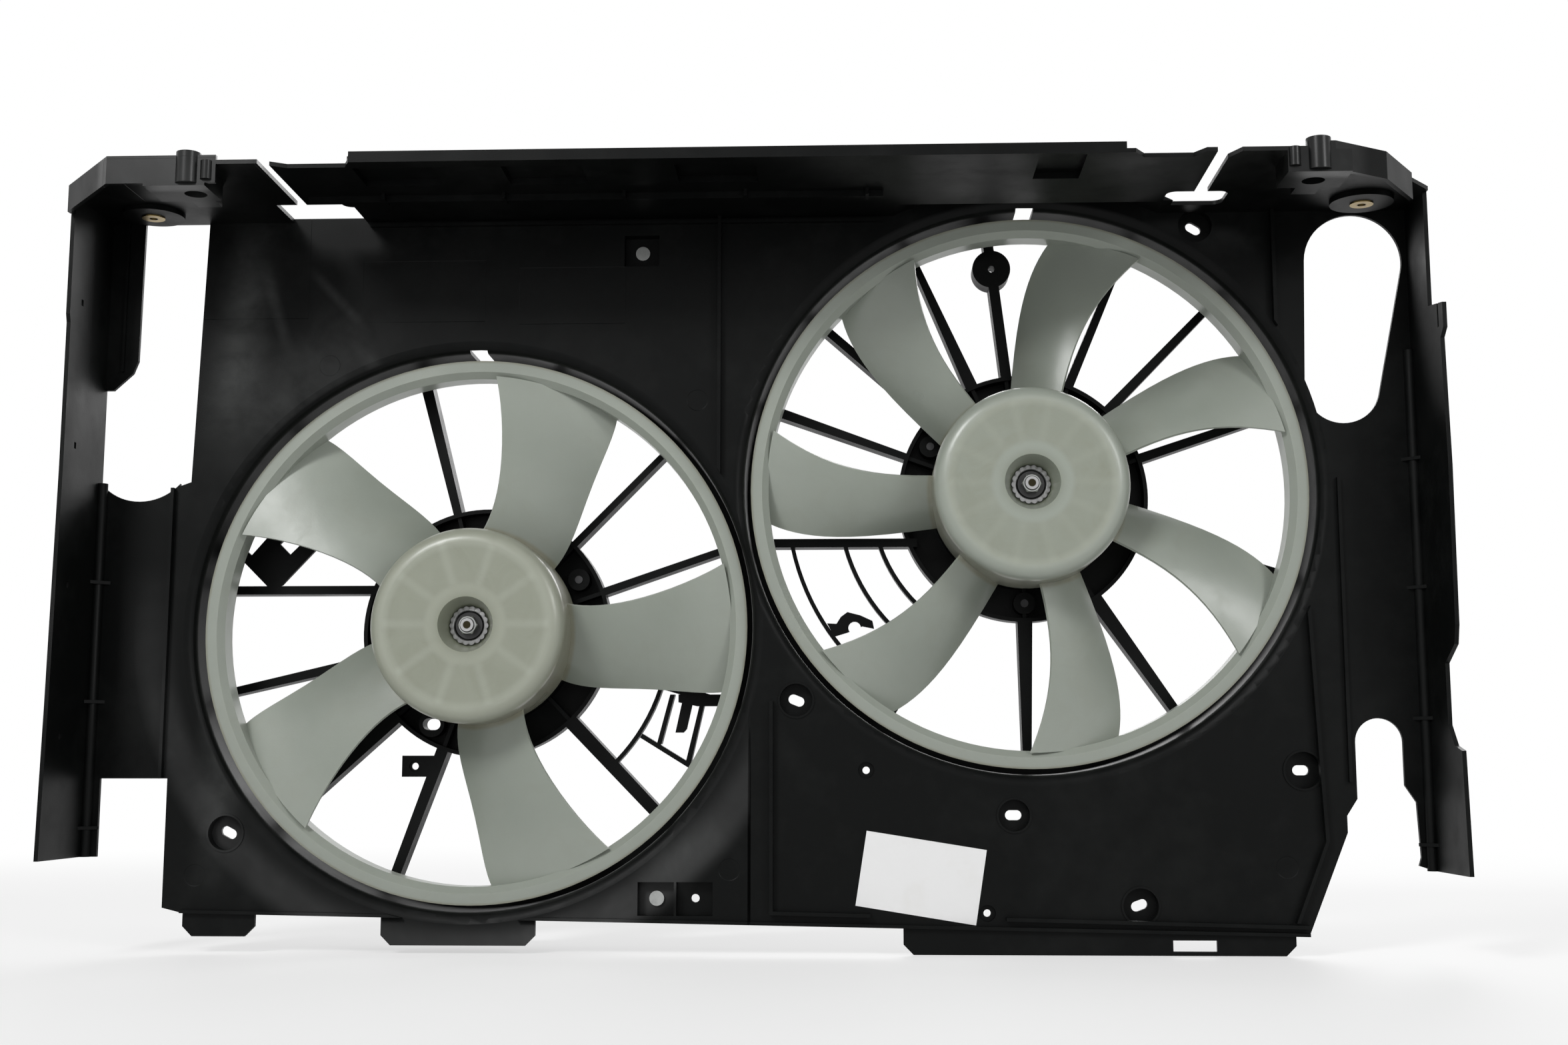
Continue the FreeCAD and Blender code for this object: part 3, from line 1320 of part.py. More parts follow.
def fan(side):
    """Hub with a dished middle, swept blades and the ring that joins their tips."""
    axis = AXES[side]
    front, radius, face = ring_y - cell("hub_lead"), cell("hub_radius"), cell("hub_wall")
    round_edge, back = cell("hub_round"), front + cell("hub_depth")
    floor = front + cell("dish_depth")
    bore = cell("bush_radius") + cell("press_gap")
    lean = face * 0.55
    hub = turned(
        f"{side}_hub",
        ((bore, floor), (cell("dish_floor"), floor), (cell("dish_radius"), front),
         (radius - round_edge, front, round_edge, "left"), (radius, front + round_edge),
         (radius, back), (radius - face, back),
         (radius - face, front + round_edge), (radius - round_edge, front + face),
         (cell("dish_radius") + lean, front + face),
         (cell("dish_floor") + lean, floor + face), (cell("boss_radius"), floor + face),
         (cell("boss_radius"), floor + cell("boss_depth")), (bore, floor + cell("boss_depth"))),
        axis,
    )
    outer, lip = RING[side], cell("ring_wall")
    inner = outer - cell("ring_band")
    turn = cell("ring_bevel")
    end = ring_y + cell("ring_depth")
    ring = turned(
        f"{side}_ring",
        ((inner, end), (inner, ring_y + turn), (inner + turn, ring_y),
         (outer, ring_y), (outer, ring_y + lip), (inner + turn, ring_y + lip),
         (inner + lip, ring_y + turn), (inner + lip, end)),
        axis,
    )
    blades = [blade(side, axis, number) for number in range(BLADES[side]["count"])]
    band = tube(f"{side}_blade_band", axis, ring_y - 20.0, inner + lip / 2,
                radius - face / 2, 60.0)
    swept = common(f"{side}_blades", fuse(f"{side}_blade_set", blades), band)
    ribs = []
    count = cell(f"{side}_hub_ribs").count()
    start, thick = cell("dish_radius"), cell("hub_rib_width")
    for number in range(count):
        ribs.append(box(f"{side}_hub_rib_{number + 1}", (start, front + face - 0.2, -thick / 2),
                        (radius - round_edge + 0.5 - start, cell("hub_rib_depth"), thick),
                        (axis[0], 0.0, axis[1]), 360.0 / count * number + 7.0))
    return node(f"{side}_fan", fuse(f"{side}_fan_solid", [hub, ring, swept] + ribs))


def fan_fastening(side):
    """Steel bush in the hub, washer in the dish and the nut on the shaft's end."""
    axis = AXES[side]
    floor = ring_y - cell("hub_lead") + cell("dish_depth")
    seat, height = floor - cell("washer_height"), cell("nut_height")
    shaft = cell("shaft_radius")
    node(f"{side}_fan_bush", tube(f"{side}_bush", axis, floor, cell("bush_radius"),
                                  shaft + cell("press_gap"), cell("boss_depth")))
    node(f"{side}_fan_washer", tube(f"{side}_washer", axis, seat, cell("washer_radius"),
                                    shaft + cell("washer_clearance"), cell("washer_height")))
    prism = doc.addObject("Part::Prism", f"{side}_nut_prism")
    prism.Polygon = 6
    bind(prism, Circumradius=cell("nut_radius"), Height=height)
    place(prism, (axis[0], seat - height, axis[1]), stand="rotation(vector(1; 0; 0); -90)")
    hole = rod_y(f"{side}_nut_hole", (axis[0], seat - height - 1.0, axis[1]),
                 shaft + cell("press_gap"), height + 2.0)
    node(f"{side}_fan_nut", cut(f"{side}_nut_cut", prism, [hole]))


for side in AXES:
    fan(side)
    fan_fastening(side)


# --------------------------------------------------------------------------- motors
can_front = panel_y + cell("can_front")
can_back = can_front + cell("can_depth")
nose_front = can_front - cell("cap_boss_depth")
shaft_bore = cell("shaft_radius") + cell("press_gap")
core_front = can_front + cell("core_front")
core_back = core_front + cell("core_depth")
core_radius = cell("magnet_inner") - cell("air_gap")
holder_front = can_back - cell("holder_thickness")
bearing_wall = cell("bearing_radius") + cell("boss_wall")


def motor_housing(side):
    """The drawn steel can, its rear cap and the two bearings they hold."""
    axis = AXES[side]
    radius, shell = cell("can_radius"), cell("can_wall")
    seat, length = cell("bearing_radius") + cell("press_gap"), cell("bearing_length")
    front_seat = can_front + shell - length
    mouth = cell("shaft_radius") + 1.0
    node(f"{side}_motor_can", turned(
        f"{side}_can",
        ((mouth, nose_front), (bearing_wall, nose_front), (bearing_wall, can_front),
         (radius - shell, can_front), (radius, can_front + shell),
         (radius, can_back), (radius - shell, can_back), (radius - shell, can_front + shell),
         (seat, can_front + shell), (seat, front_seat), (mouth, front_seat)),
        axis,
    ))
    rear_seat = can_back + cell("cap_thickness") - length
    tip = rear_seat + length + cell("cap_end_wall")
    node(f"{side}_motor_cap", turned(
        f"{side}_cap",
        ((seat, rear_seat), (bearing_wall, rear_seat), (bearing_wall, can_back),
         (radius, can_back), (radius, can_back + cell("cap_thickness")),
         (bearing_wall, can_back + cell("cap_thickness")), (bearing_wall, tip), (0.0, tip),
         (0.0, rear_seat + length), (seat, rear_seat + length)),
        axis,
    ))
    for word, y in (("front", front_seat), ("rear", rear_seat)):
        node(f"{side}_{word}_bearing", tube(
            f"{side}_{word}_bearing_ring", axis, y, cell("bearing_radius"),
            cell("shaft_radius") + cell("running_gap"), length,
        ))


def motor_flange(side):
    """The plate on the can with three ears, and the screws that hold it to the carrier."""
    axis = AXES[side]
    thick, pitch, ear = cell("flange_thickness"), cell("ear_pitch"), cell("ear_radius")
    centre = (axis[0], 0.0, axis[1])
    hole = cell("can_radius") + cell("press_gap")
    parts, holes, screws = [], [], []
    parts.append(rod_y(f"{side}_flange_disc", (axis[0], carrier_end, axis[1]),
                       hole + cell("flange_band"), thick))
    holes.append(rod_y(f"{side}_flange_hole", (axis[0], carrier_end - 1.0, axis[1]), hole,
                       thick + 2.0))
    head, length = cell("screw_head_height"), cell("screw_length")
    rear = carrier_end + thick
    for angle in EARS:
        parts.append(box(f"{side}_ear_{angle}", (hole + 1.0, carrier_end, -ear),
                         (pitch - hole - 1.0, thick, ear * 2), centre, angle))
        parts.append(rod_out(f"{side}_ear_end_{angle}", axis, angle, pitch, carrier_end, ear,
                             thick))
        holes.append(rod_out(f"{side}_ear_hole_{angle}", axis, angle, pitch, carrier_end - 1.0,
                             cell("screw_radius") + cell("press_gap"), thick + 2.0))
        screws.append(fuse(f"{side}_screw_{angle}", [
            rod_out(f"{side}_screw_head_{angle}", axis, angle, pitch, rear, cell("screw_head"),
                    head),
            rod_out(f"{side}_screw_shank_{angle}", axis, angle, pitch, rear - length,
                    cell("screw_radius"), length),
        ]))
    solid = fuse(f"{side}_flange_solid", parts)
    node(f"{side}_motor_flange", cut(f"{side}_flange_cut", solid, holes))
    node(f"{side}_motor_screws", group(f"{side}_screw_set", screws))


def magnets(side):
    """Four curved magnets round the inside of the can."""
    axis = AXES[side]
    outer = cell("can_radius") - cell("can_wall") - cell("press_gap")
    front = core_front + (cell("core_depth") - cell("magnet_depth")) / 2
    hollow = rod_y(f"{side}_magnet_hollow", (axis[0], front - 1.0, axis[1]),
                   cell("magnet_inner"), cell("magnet_depth") + 2.0)
    pieces = []
    for number in range(4):
        wedge = doc.addObject("Part::Cylinder", f"{side}_magnet_form_{number + 1}")
        bind(wedge, Radius=outer, Height=cell("magnet_depth"), Angle=cell("magnet_angle"))
        place(wedge, (axis[0], front, axis[1]), cell("magnet_angle") / 2 + 90.0 * number,
              stand="rotation(vector(1; 0; 0); -90)")
        pieces.append(cut(f"{side}_magnet_{number + 1}", wedge, [hollow]))
    node(f"{side}_magnets", group(f"{side}_magnet_set", pieces))


def armature(side):
    """The shaft with its slotted core, windings and commutator."""
    axis = AXES[side]
    centre = (axis[0], 0.0, axis[1])
    nose = (ring_y - cell("hub_lead") + cell("dish_depth") - cell("washer_height")
            - cell("nut_height") - cell("shaft_nose"))
    tail = can_back + cell("cap_thickness") - 0.5
    node(f"{side}_motor_shaft", rod_y(f"{side}_shaft", (axis[0], nose, axis[1]),
                                      cell("shaft_radius"), tail - nose))
    deep, wide = cell("core_slot_depth"), cell("core_slot_width")
    gap, depth, coil = cell("coil_gap"), cell("core_depth"), cell("coil_depth")
    slots, wires = [], []
    count = round(cell("core_slots").value)
    for number in range(count):
        angle = 360.0 / count * number
        slots.append(box(f"{side}_slot_{number + 1}", (core_radius - deep, core_front - 1.0,
                         -wide / 2), (deep + 1.0, depth + 2.0, wide), centre, angle))
        wires.append(box(f"{side}_wire_{number + 1}", (core_radius - deep + gap,
                         core_front - 1.0, gap - wide / 2),
                         (cell("coil_radius") - core_radius + deep - gap - 1.0, depth + 2.0,
                          wide - gap * 2), centre, angle))
    blank = tube(f"{side}_core_blank", axis, core_front, core_radius, shaft_bore, depth)
    node(f"{side}_armature_core", cut(f"{side}_core_cut", blank, slots))
    inner = core_radius - deep - 3.0
    for word, y in (("front", core_front - coil), ("rear", core_back)):
        wires.append(tube(f"{side}_{word}_coil", axis, y, cell("coil_radius"), inner, coil))
    node(f"{side}_windings", fuse(f"{side}_winding_solid", wires))
    node(f"{side}_commutator", tube(f"{side}_commutator_drum", axis, core_back + coil + 1.0,
                                    cell("commutator_radius"), shaft_bore,
                                    cell("commutator_depth")))


def brush_gear(side):
    """The holder plate in front of the cap with two boxed brushes, and the side plug."""
    axis = AXES[side]
    centre = (axis[0], 0.0, axis[1])
    thick, width, length = cell("holder_thickness"), cell("brush_width"), cell("brush_length")
    start = cell("commutator_radius") + cell("brush_gap")
    front = core_back + cell("coil_depth") + 1.5
    slack, shell = cell("brush_slack"), cell("brush_box_wall")
    brushes, parts = [], []
    parts.append(rod_y(f"{side}_holder_disc", (axis[0], holder_front, axis[1]),
                       cell("holder_radius"), thick))
    holes = [rod_y(f"{side}_holder_hole", (axis[0], holder_front - 1.0, axis[1]),
                   bearing_wall + cell("seat_gap"), thick + 2.0)]
    for word, angle in (("right", 0.0), ("left", 180.0)):
        brushes.append(box(f"{side}_{word}_brush", (start, front, -width / 2),
                           (length, width, width), centre, angle))
        outer = width + slack * 2 + shell * 2
        parts.append(box(f"{side}_{word}_brush_box", (start + 1.5, front + slack, -outer / 2),
                         (length + 2.0, holder_front - front, outer), centre, angle))
        holes.append(box(f"{side}_{word}_brush_way", (start - 1.0, front - 1.0,
                         -width / 2 - slack), (length + 2.0, width + slack + 1.0,
                         width + slack * 2), centre, angle))
    node(f"{side}_brush_holder", cut(f"{side}_holder_cut",
                                     fuse(f"{side}_holder_solid", parts), holes))
    node(f"{side}_brushes", group(f"{side}_brush_pair", brushes))
    turn, reach = cell("plug_turn"), cell("can_radius") - 1.0
    wide, high, deep = cell("plug_width"), cell("plug_height"), cell("plug_depth")
    rear = carrier_end + cell("flange_thickness") + 0.5
    lip = cell("plug_wall")
    block = box(f"{side}_plug_block", (reach, rear, -wide / 2), (high, deep, wide), centre, turn)
    holes = [
        rod_y(f"{side}_plug_seat", (axis[0], rear - 1.0, axis[1]),
              cell("can_radius") + cell("press_gap"), deep + 2.0),
        box(f"{side}_plug_way", (reach + high / 2, rear + lip, lip - wide / 2),
            (high, deep - lip * 2, wide - lip * 2), centre, turn),
    ]
    pins = []
    for word, shift in (("first", -5.0), ("second", 5.0)):
        size = cell("pin_size")
        pins.append(box(f"{side}_{word}_pin", (reach + high / 2, rear + deep / 2 - size / 2,
                        shift - size / 2), (high / 2 - 1.5, size, size), centre, turn))
    node(f"{side}_motor_plug", cut(f"{side}_plug_cut", block, holes))
    node(f"{side}_plug_pins", group(f"{side}_pin_pair", pins))


for side in AXES:
    motor_housing(side)
    motor_flange(side)
    magnets(side)
    armature(side)
    brush_gear(side)


# --------------------------------------------------------------------------- check and export
doc.recompute()
failed = [item.Name for item in doc.Objects if {"Invalid", "Error"} & set(item.State)]
if failed:
    raise RuntimeError(f"these objects failed: {failed}")
for name, item in NODES:
    if item.Shape.isNull() or not item.Shape.isValid():
        raise RuntimeError(f"{name} has no valid shape")
os.makedirs("parts", exist_ok=True)
for name, item in NODES:
    item.Shape.exportStep(f"parts/{name}.step")
print(len(NODES), "sub-parts written")
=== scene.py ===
import math

import bmesh
import bpy
import numpy as np
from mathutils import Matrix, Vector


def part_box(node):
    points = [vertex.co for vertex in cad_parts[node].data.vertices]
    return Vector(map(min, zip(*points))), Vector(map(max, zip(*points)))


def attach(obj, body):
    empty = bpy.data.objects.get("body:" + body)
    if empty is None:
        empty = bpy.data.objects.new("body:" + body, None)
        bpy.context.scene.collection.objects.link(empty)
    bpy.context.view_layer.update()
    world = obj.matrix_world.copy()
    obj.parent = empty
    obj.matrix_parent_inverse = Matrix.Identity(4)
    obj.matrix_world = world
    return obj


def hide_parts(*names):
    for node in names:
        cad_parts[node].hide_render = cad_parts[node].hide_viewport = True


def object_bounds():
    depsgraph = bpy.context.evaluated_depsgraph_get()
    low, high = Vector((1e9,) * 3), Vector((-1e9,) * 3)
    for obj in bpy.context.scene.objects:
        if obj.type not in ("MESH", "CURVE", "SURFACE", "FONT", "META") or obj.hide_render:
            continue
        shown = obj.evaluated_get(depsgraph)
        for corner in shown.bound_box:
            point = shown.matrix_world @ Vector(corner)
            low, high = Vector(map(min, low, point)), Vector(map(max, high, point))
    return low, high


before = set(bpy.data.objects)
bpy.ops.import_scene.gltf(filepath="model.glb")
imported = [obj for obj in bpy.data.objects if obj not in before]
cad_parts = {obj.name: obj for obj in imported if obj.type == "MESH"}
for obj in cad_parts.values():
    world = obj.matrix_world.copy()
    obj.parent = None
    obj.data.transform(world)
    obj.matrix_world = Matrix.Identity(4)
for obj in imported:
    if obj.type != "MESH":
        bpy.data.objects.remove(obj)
cad_box = [list(corner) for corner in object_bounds()]

# --------------------------------------------------------------------------- camera
# The shroud is looked at from its radiator side, from a little below its middle, with a
# lens that takes in the whole width.
camera = bpy.data.objects.new("camera", bpy.data.cameras.new("camera"))
camera.data.sensor_width = 36.0
camera.data.lens = 42.27
camera.data.shift_x = 0.0032
camera.data.shift_y = -0.0014
camera.location = (0.0616, -1.1062, 0.1092)
camera.rotation_euler = (math.radians(97.75), 0.0, math.radians(2.21))
bpy.context.scene.collection.objects.link(camera)
bpy.context.scene.camera = camera
bpy.context.scene.view_settings.view_transform = "Standard"


# --------------------------------------------------------------------------- black moulding
# Panel, wings, deck, brackets, ducts and motor carriers are one injection moulding in
# black glass-filled polypropylene. It is drawn as ten solids that share one finish.
class Link:
    """A shader socket that takes part in sums: each operator adds one Math node."""

    def __init__(self, tree, socket):
        self.tree = tree
        self.socket = socket

    def math(self, operation, *others):
        node = self.tree.nodes.new("ShaderNodeMath")
        node.operation = operation
        for place, value in zip(node.inputs, (self, *others)):
            put(self.tree, place, value)
        return Link(self.tree, node.outputs[0])

    def __add__(self, other):
        return self.math("ADD", other)

    def __sub__(self, other):
        return self.math("SUBTRACT", other)

    def __mul__(self, other):
        return self.math("MULTIPLY", other)

    __radd__ = __add__

    def clamp(self):
        return self.math("MAXIMUM", 0.0).math("MINIMUM", 1.0)

    def size(self):
        return self.math("ABSOLUTE")


def put(tree, socket, value):
    """Set a socket to a number or colour, or link it."""
    if isinstance(value, Link):
        tree.links.new(value.socket, socket)
    else:
        socket.default_value = value


def length(across, up):
    """The distance that two legs at right angles span."""
    return (across * across + up * up).math("SQRT")


class Finish:
    """A material that is being built: its tree, its surface shader and object coordinates."""

    def __init__(self, name, **surface):
        self.material = bpy.data.materials.new(name)
        self.material.use_nodes = True
        self.tree = self.material.node_tree
        self.shader = self.tree.nodes["Principled BSDF"]
        self.where = self.add("ShaderNodeTexCoord", "Object")
        for socket, value in surface.items():
            self.shader.inputs[socket.replace("_", " ")].default_value = value

    def add(self, kind, output=0, settings=(), **sockets):
        """A node with its settings set first, then its sockets set or linked."""
        node = self.tree.nodes.new(kind)
        for name, value in dict(settings).items():
            setattr(node, name, value)
        for name, value in sockets.items():
            put(self.tree, node.inputs[name.replace("_", " ")], value)
        return Link(self.tree, node.outputs[output])

    def spread(self, scale=(1.0, 1.0, 1.0), turn=(0.0, 0.0, 0.0), at=(0.0, 0.0, 0.0)):
        """Object coordinates in metres, centred, turned and stretched."""
        return self.add("ShaderNodeMapping", Vector=self.where, Scale=scale, Rotation=turn,
                        Location=at)

    def axes(self, vector):
        """The three parts of a vector."""
        node = self.tree.nodes.new("ShaderNodeSeparateXYZ")
        put(self.tree, node.inputs[0], vector)
        return [Link(self.tree, socket) for socket in node.outputs]

    def around(self, centre):
        """Coordinates from an axis along Y, with their distance from that axis."""
        x, y, z = self.axes(self.spread(at=(-centre.x, 0.0, -centre.z)))
        return x, y, z, length(x, z)

    def ease(self, value, start, end):
        """0 at start, 1 at end, with a soft S between them."""
        return self.add("ShaderNodeMapRange", settings={"interpolation_type": "SMOOTHSTEP"},
                        Value=value, From_Min=start, From_Max=end)

    def band(self, value, start, full, fade, end):
        """1 from full to fade, with soft edges that reach 0 at start and at end."""
        return self.ease(value, start, full) * self.ease(value, end, fade)

    def noise(self, scale, detail=3.0, rough=0.5, where=None, twist=0.0):
        return self.add("ShaderNodeTexNoise", Vector=where or self.where, Scale=scale,
                        Detail=detail, Roughness=rough, Distortion=twist)

    def ramp(self, value, *stops):
        """A straight-line ramp through (position, grey) stops."""
        node = self.tree.nodes.new("ShaderNodeValToRGB")
        put(self.tree, node.inputs[0], value)
        for element, (place, level) in zip(node.color_ramp.elements, stops):
            element.position = place
            element.color = grey(level)
        return Link(self.tree, node.outputs[0])

    def blend(self, amount, first, second):
        """From one colour to another by an amount."""
        node = self.tree.nodes.new("ShaderNodeMix")
        node.data_type = "RGBA"
        put(self.tree, node.inputs[0], amount)
        put(self.tree, node.inputs[6], first)
        put(self.tree, node.inputs[7], second)
        return Link(self.tree, node.outputs[2])

    def bump(self, height, distance, strength=1.0, over=None):
        """A bumped normal, on top of another one if it is given."""
        sockets = {"Height": height, "Distance": distance, "Strength": strength}
        if over is not None:
            sockets["Normal"] = over
        return self.add("ShaderNodeBump", **sockets)

    def done(self, **sockets):
        for name, value in sockets.items():
            put(self.tree, self.shader.inputs[name.replace("_", " ")], value)
        return self.material


def grey(level, warm=0.0):
    return (level * (1 + warm), level, level * (1 - warm), 1.0)


def centre_of(node):
    low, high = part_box(node)
    return (low + high) / 2


def dress(material, *nodes):
    """Give CAD solids their finish."""
    for name in nodes:
        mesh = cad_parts[name].data
        mesh.materials.clear()
        mesh.materials.append(material)


def black_moulding():
    """Dull black polypropylene with the marks of its mould and of handling.

    Heights over the front: a flare that eases up with the distance from the left mouth's
    centre, round ejector marks and shallow steps. A pale mark is a soft stripe: a bell over
    the distance from its line, faded at both ends and broken up by noise. Some stripes are
    scrapes, some are painted highlights, and the wide ones at the upper left are both.
    """
    clean = (0.0028, 0.0032, 0.0031, 1.0)
    dusty = (0.016, 0.0168, 0.0162, 1.0)
    # The pale stripes' colour below: scraped black on the scrapes, painted highlight on the
    # rest.
    scrape_and_highlight_grey = (0.045, 0.047, 0.046, 1.0)
    panel_front, sill = 0.023, 0.0004
    pin, pin_edge, step_edge = 0.0065, 0.0003, 0.0005
    # Radii round the left mouth: the flare's foot and top, and the gloss that runs round it.
    flare_foot, flare_top, gloss_ring = 0.176, 0.212, (0.182, 0.194, 0.2, 0.212)
    # The flare stays left of the middle and low down; the wings' front edges are polished.
    middle_line, low_down = (0.001, -0.001), (0.24, 0.13)
    wing_edge, wing_start = (-0.08, -0.088), (0.26, 0.29)
    # Pale stripes: middle (x, z), lean in degrees, half length, half width, strength. The first
    # three are scrapes, the two wide ones at the upper left are scrapes and painted highlight,
    # the last two, at the panel's left edge and low right of the left mouth, painted
    # highlights.
    scrapes_and_highlights = (((-0.301, 0.399), -73.0, 0.036, 0.006, 0.7),
              ((-0.262, 0.406), -47.0, 0.034, 0.005, 0.6),
              ((-0.232, 0.352), -58.0, 0.05, 0.008, 0.4),
              ((-0.322, 0.39), 84.0, 0.085, 0.024, 1.3),
              ((-0.285, 0.352), 38.0, 0.09, 0.045, 0.7),
              ((-0.325, 0.12), 88.0, 0.1, 0.02, 0.9),
              ((-0.04, 0.06), 35.0, 0.04, 0.02, 0.8))
    ejectors = ((-0.033, 0.339), (-0.012, 0.05), (-0.339, 0.046), (0.322, 0.052),
                (-0.266, 0.363))
    # Shallow steps: left, right, low and high edge of each field.
    fields = ((-0.246, -0.168, 0.391, 0.43), (-0.146, -0.079, 0.389, 0.425),
              (-0.37, -0.281, 0.394, 0.46))

    finish = Finish("black_moulding", IOR=1.47, Specular_IOR_Level=0.1, Coat_Roughness=0.27)
    x, y, z = finish.axes(finish.where)
    cloud = finish.noise(9.0, 4.0, 0.55, twist=0.6)
    fine = finish.noise(60.0, 5.0, 0.62)
    smears = finish.noise(30.0, 4.0, 0.6, twist=1.2)
    dust = finish.ramp(cloud * 0.55 + fine * 0.45, (0.48, 0.0), (0.72, 1.0))

    def away(spot):
        return length(x - spot[0], z - spot[1])

    def pale_mark(spot, lean, half, wide, strength):
        turn = math.radians(lean)
        across, up = x - spot[0], z - spot[1]
        along = across * math.cos(turn) + up * math.sin(turn)
        aside = up * math.cos(turn) - across * math.sin(turn)
        return (finish.ease(along.size(), half, half * 0.2)
                * finish.ease(aside.size(), wide, 0.0) * strength)

    # The stripes' mask: scrapes and painted highlight; it pales the colour, roughens and adds
    # coat.
    patch_mask = sum(pale_mark(*stripe) for stripe in scrapes_and_highlights)
    patch_mask = (patch_mask * (fine * 0.7 + smears * 0.9 - 0.25).clamp()
            * finish.ease(y, panel_front + sill, panel_front - sill))
    base = finish.blend(dust * 0.3, clean, dusty)
    base = finish.blend((patch_mask * 0.8).clamp(), base, scrape_and_highlight_grey)
    melt = finish.spread((1.0, 1.0, 0.22), (0.0, math.radians(18), 0.0))
    flow = finish.noise(26.0, 3.0, 0.5, where=melt)
    rough = (0.3 + flow * 0.2 + dust * 0.14 + patch_mask * 0.1).clamp()

    mouth = centre_of("left_fan")
    reach = away((mouth.x, mouth.z))
    corners = finish.ease(x, *middle_line) * finish.ease(z, *low_down)
    flare = finish.ease(reach, flare_foot, flare_top) * corners
    gloss = finish.band(reach, *gloss_ring) * corners
    edges = finish.ease(y, *wing_edge) * finish.ease(x.size(), *wing_start)
    polish = (gloss * 0.5 + edges * 0.45 + patch_mask * 0.2).clamp() * (0.3 + smears * 0.9)

    marks = 1.0
    for spot in ejectors:
        marks = finish.ease(away(spot), pin - pin_edge, pin + pin_edge) * marks
    for left, right, low, high in fields:
        middle, half = (left + right) / 2, (right - left) / 2
        level, rise = (low + high) / 2, (high - low) / 2
        inside = (finish.ease((x - middle).size(), half + step_edge, half)
                  * finish.ease((z - level).size(), rise + step_edge, rise))
        marks = marks - inside * 0.6
    normal = finish.bump(flare, 0.01)
    normal = finish.bump(finish.noise(14.0, 2.0, 0.5), 0.004, 0.3, over=normal)
    normal = finish.bump(marks, 0.00022, over=normal)
    normal = finish.bump(finish.noise(1500.0, 2.0, 0.6), 0.0001, 0.5, over=normal)
    return finish.done(Base_Color=base, Roughness=rough, Normal=normal, Coat_Weight=polish)


dress(black_moulding(), "shroud_panel", "left_side_wing", "right_side_wing", "top_deck",
      "left_top_bracket", "right_top_bracket", "left_fan_duct", "right_fan_duct",
      "left_motor_carrier", "right_motor_carrier")


# --------------------------------------------------------------------------- inserts, rivets
# Knurled brass inserts with a thread, pressed into the corner brackets, and zinc-plated
# steel rivets, set in two of the panel's square pockets.
SIDES = ("left", "right")


def bright_metal(name, colour, rough, brush=(1.0, 1.0, 1.0)):
    """Plated or plain metal, dulled in patches, with fine lines along the brush."""
    finish = Finish(name, Metallic=1.0)
    cloud = finish.noise(160.0, 4.0, 0.6)
    lines = finish.noise(900.0, 2.0, 0.5, where=finish.spread(brush))
    patch_mask = finish.ramp(cloud, (0.45, 0.0), (0.7, 1.0))
    dark = tuple(value * 0.55 for value in colour[:3]) + (1.0,)
    return finish.done(Base_Color=finish.blend(patch_mask * 0.5, colour, dark),
                       Roughness=rough + cloud * 0.2, Normal=finish.bump(lines, 0.00004, 0.5))


def threaded_brass():
    """Turned brass with thread turns along Z; the bores are darkened as painted shade."""
    pale, dull, bore_shade = (0.34, 0.25, 0.1, 1.0), (0.2, 0.145, 0.055, 1.0), (0.1, 0.07, 0.025, 1.0)
    bore, thread_depth, pitch = 0.0026, 0.0007, 0.0008
    finish = Finish("threaded_brass", Metallic=1.0)
    x, y, z = finish.axes(finish.where)
    reach = 1.0
    for side in SIDES:
        middle = centre_of(f"{side}_threaded_insert")
        reach = length(x - middle.x, y - middle.y).math("MINIMUM", reach)
    turns = (z * (2 * math.pi / pitch)).math("SINE")
    cloud = finish.noise(220.0, 3.0, 0.6)
    base = finish.blend(cloud * 0.6, pale, dull)
    # Painted shade: the colour darkens inside the bores.
    base = finish.blend(finish.ease(reach, bore + thread_depth, bore), base, bore_shade)
    return finish.done(Base_Color=base, Roughness=0.24 + cloud * 0.2,
                       Normal=finish.bump(turns, 0.0002, 0.7))


steel = bright_metal("zinc_plated_steel", (0.4, 0.41, 0.4, 1.0), 0.24, (1.0, 0.1, 1.0))
dress(threaded_brass(), "left_threaded_insert", "right_threaded_insert")
dress(steel, "panel_rivets")


# --------------------------------------------------------------------------- motors
# Painted steel cans and caps on three-eared flanges, screwed to the carriers; inside are
# ferrite magnets, a wound core with its commutator, brushes, bearings and the shaft.
def coated(name, level, rough, grain):
    """A dark coated or sintered surface with speckle and soft pale abrasions."""
    finish = Finish(name)
    speck = finish.noise(grain, 3.0, 0.6)
    pale_mark = finish.ramp(finish.noise(40.0, 4.0, 0.6), (0.5, 0.0), (0.75, 1.0))
    base = finish.blend(pale_mark * 0.4, grey(level), grey(level * 2.6, 0.04))
    return finish.done(Base_Color=base, Roughness=rough + pale_mark * 0.15,
                       Normal=finish.bump(speck, 0.00008, 0.5))


def shaft_steel(side):
    """Ground steel with a centre-drilled hole, bumped in and coloured near black as painted
    shade, and the last turns of thread.
    """
    hole_radius, hole_edge, pitch = 0.0021, 0.0006, 0.001
    finish = Finish(f"{side}_shaft_steel", Metallic=1.0)
    _, y, _, reach = finish.around(centre_of(f"{side}_motor_shaft"))
    hole = finish.ease(reach, hole_radius + hole_edge, hole_radius)
    turns = (y * (2 * math.pi / pitch)).math("SINE")
    cloud = finish.noise(300.0, 3.0, 0.6)
    base = finish.blend(cloud * 0.5, grey(0.42), grey(0.26))
    # Painted shade: the hole is coloured near black for the shade inside it.
    base = finish.blend(hole, base, (0.03, 0.026, 0.015, 1.0))
    normal = finish.bump(turns, 0.0003, 0.6)
    normal = finish.bump(hole, 0.0006, -1.0, over=normal)
    return finish.done(Base_Color=base, Roughness=0.25 + cloud * 0.2, Normal=normal)


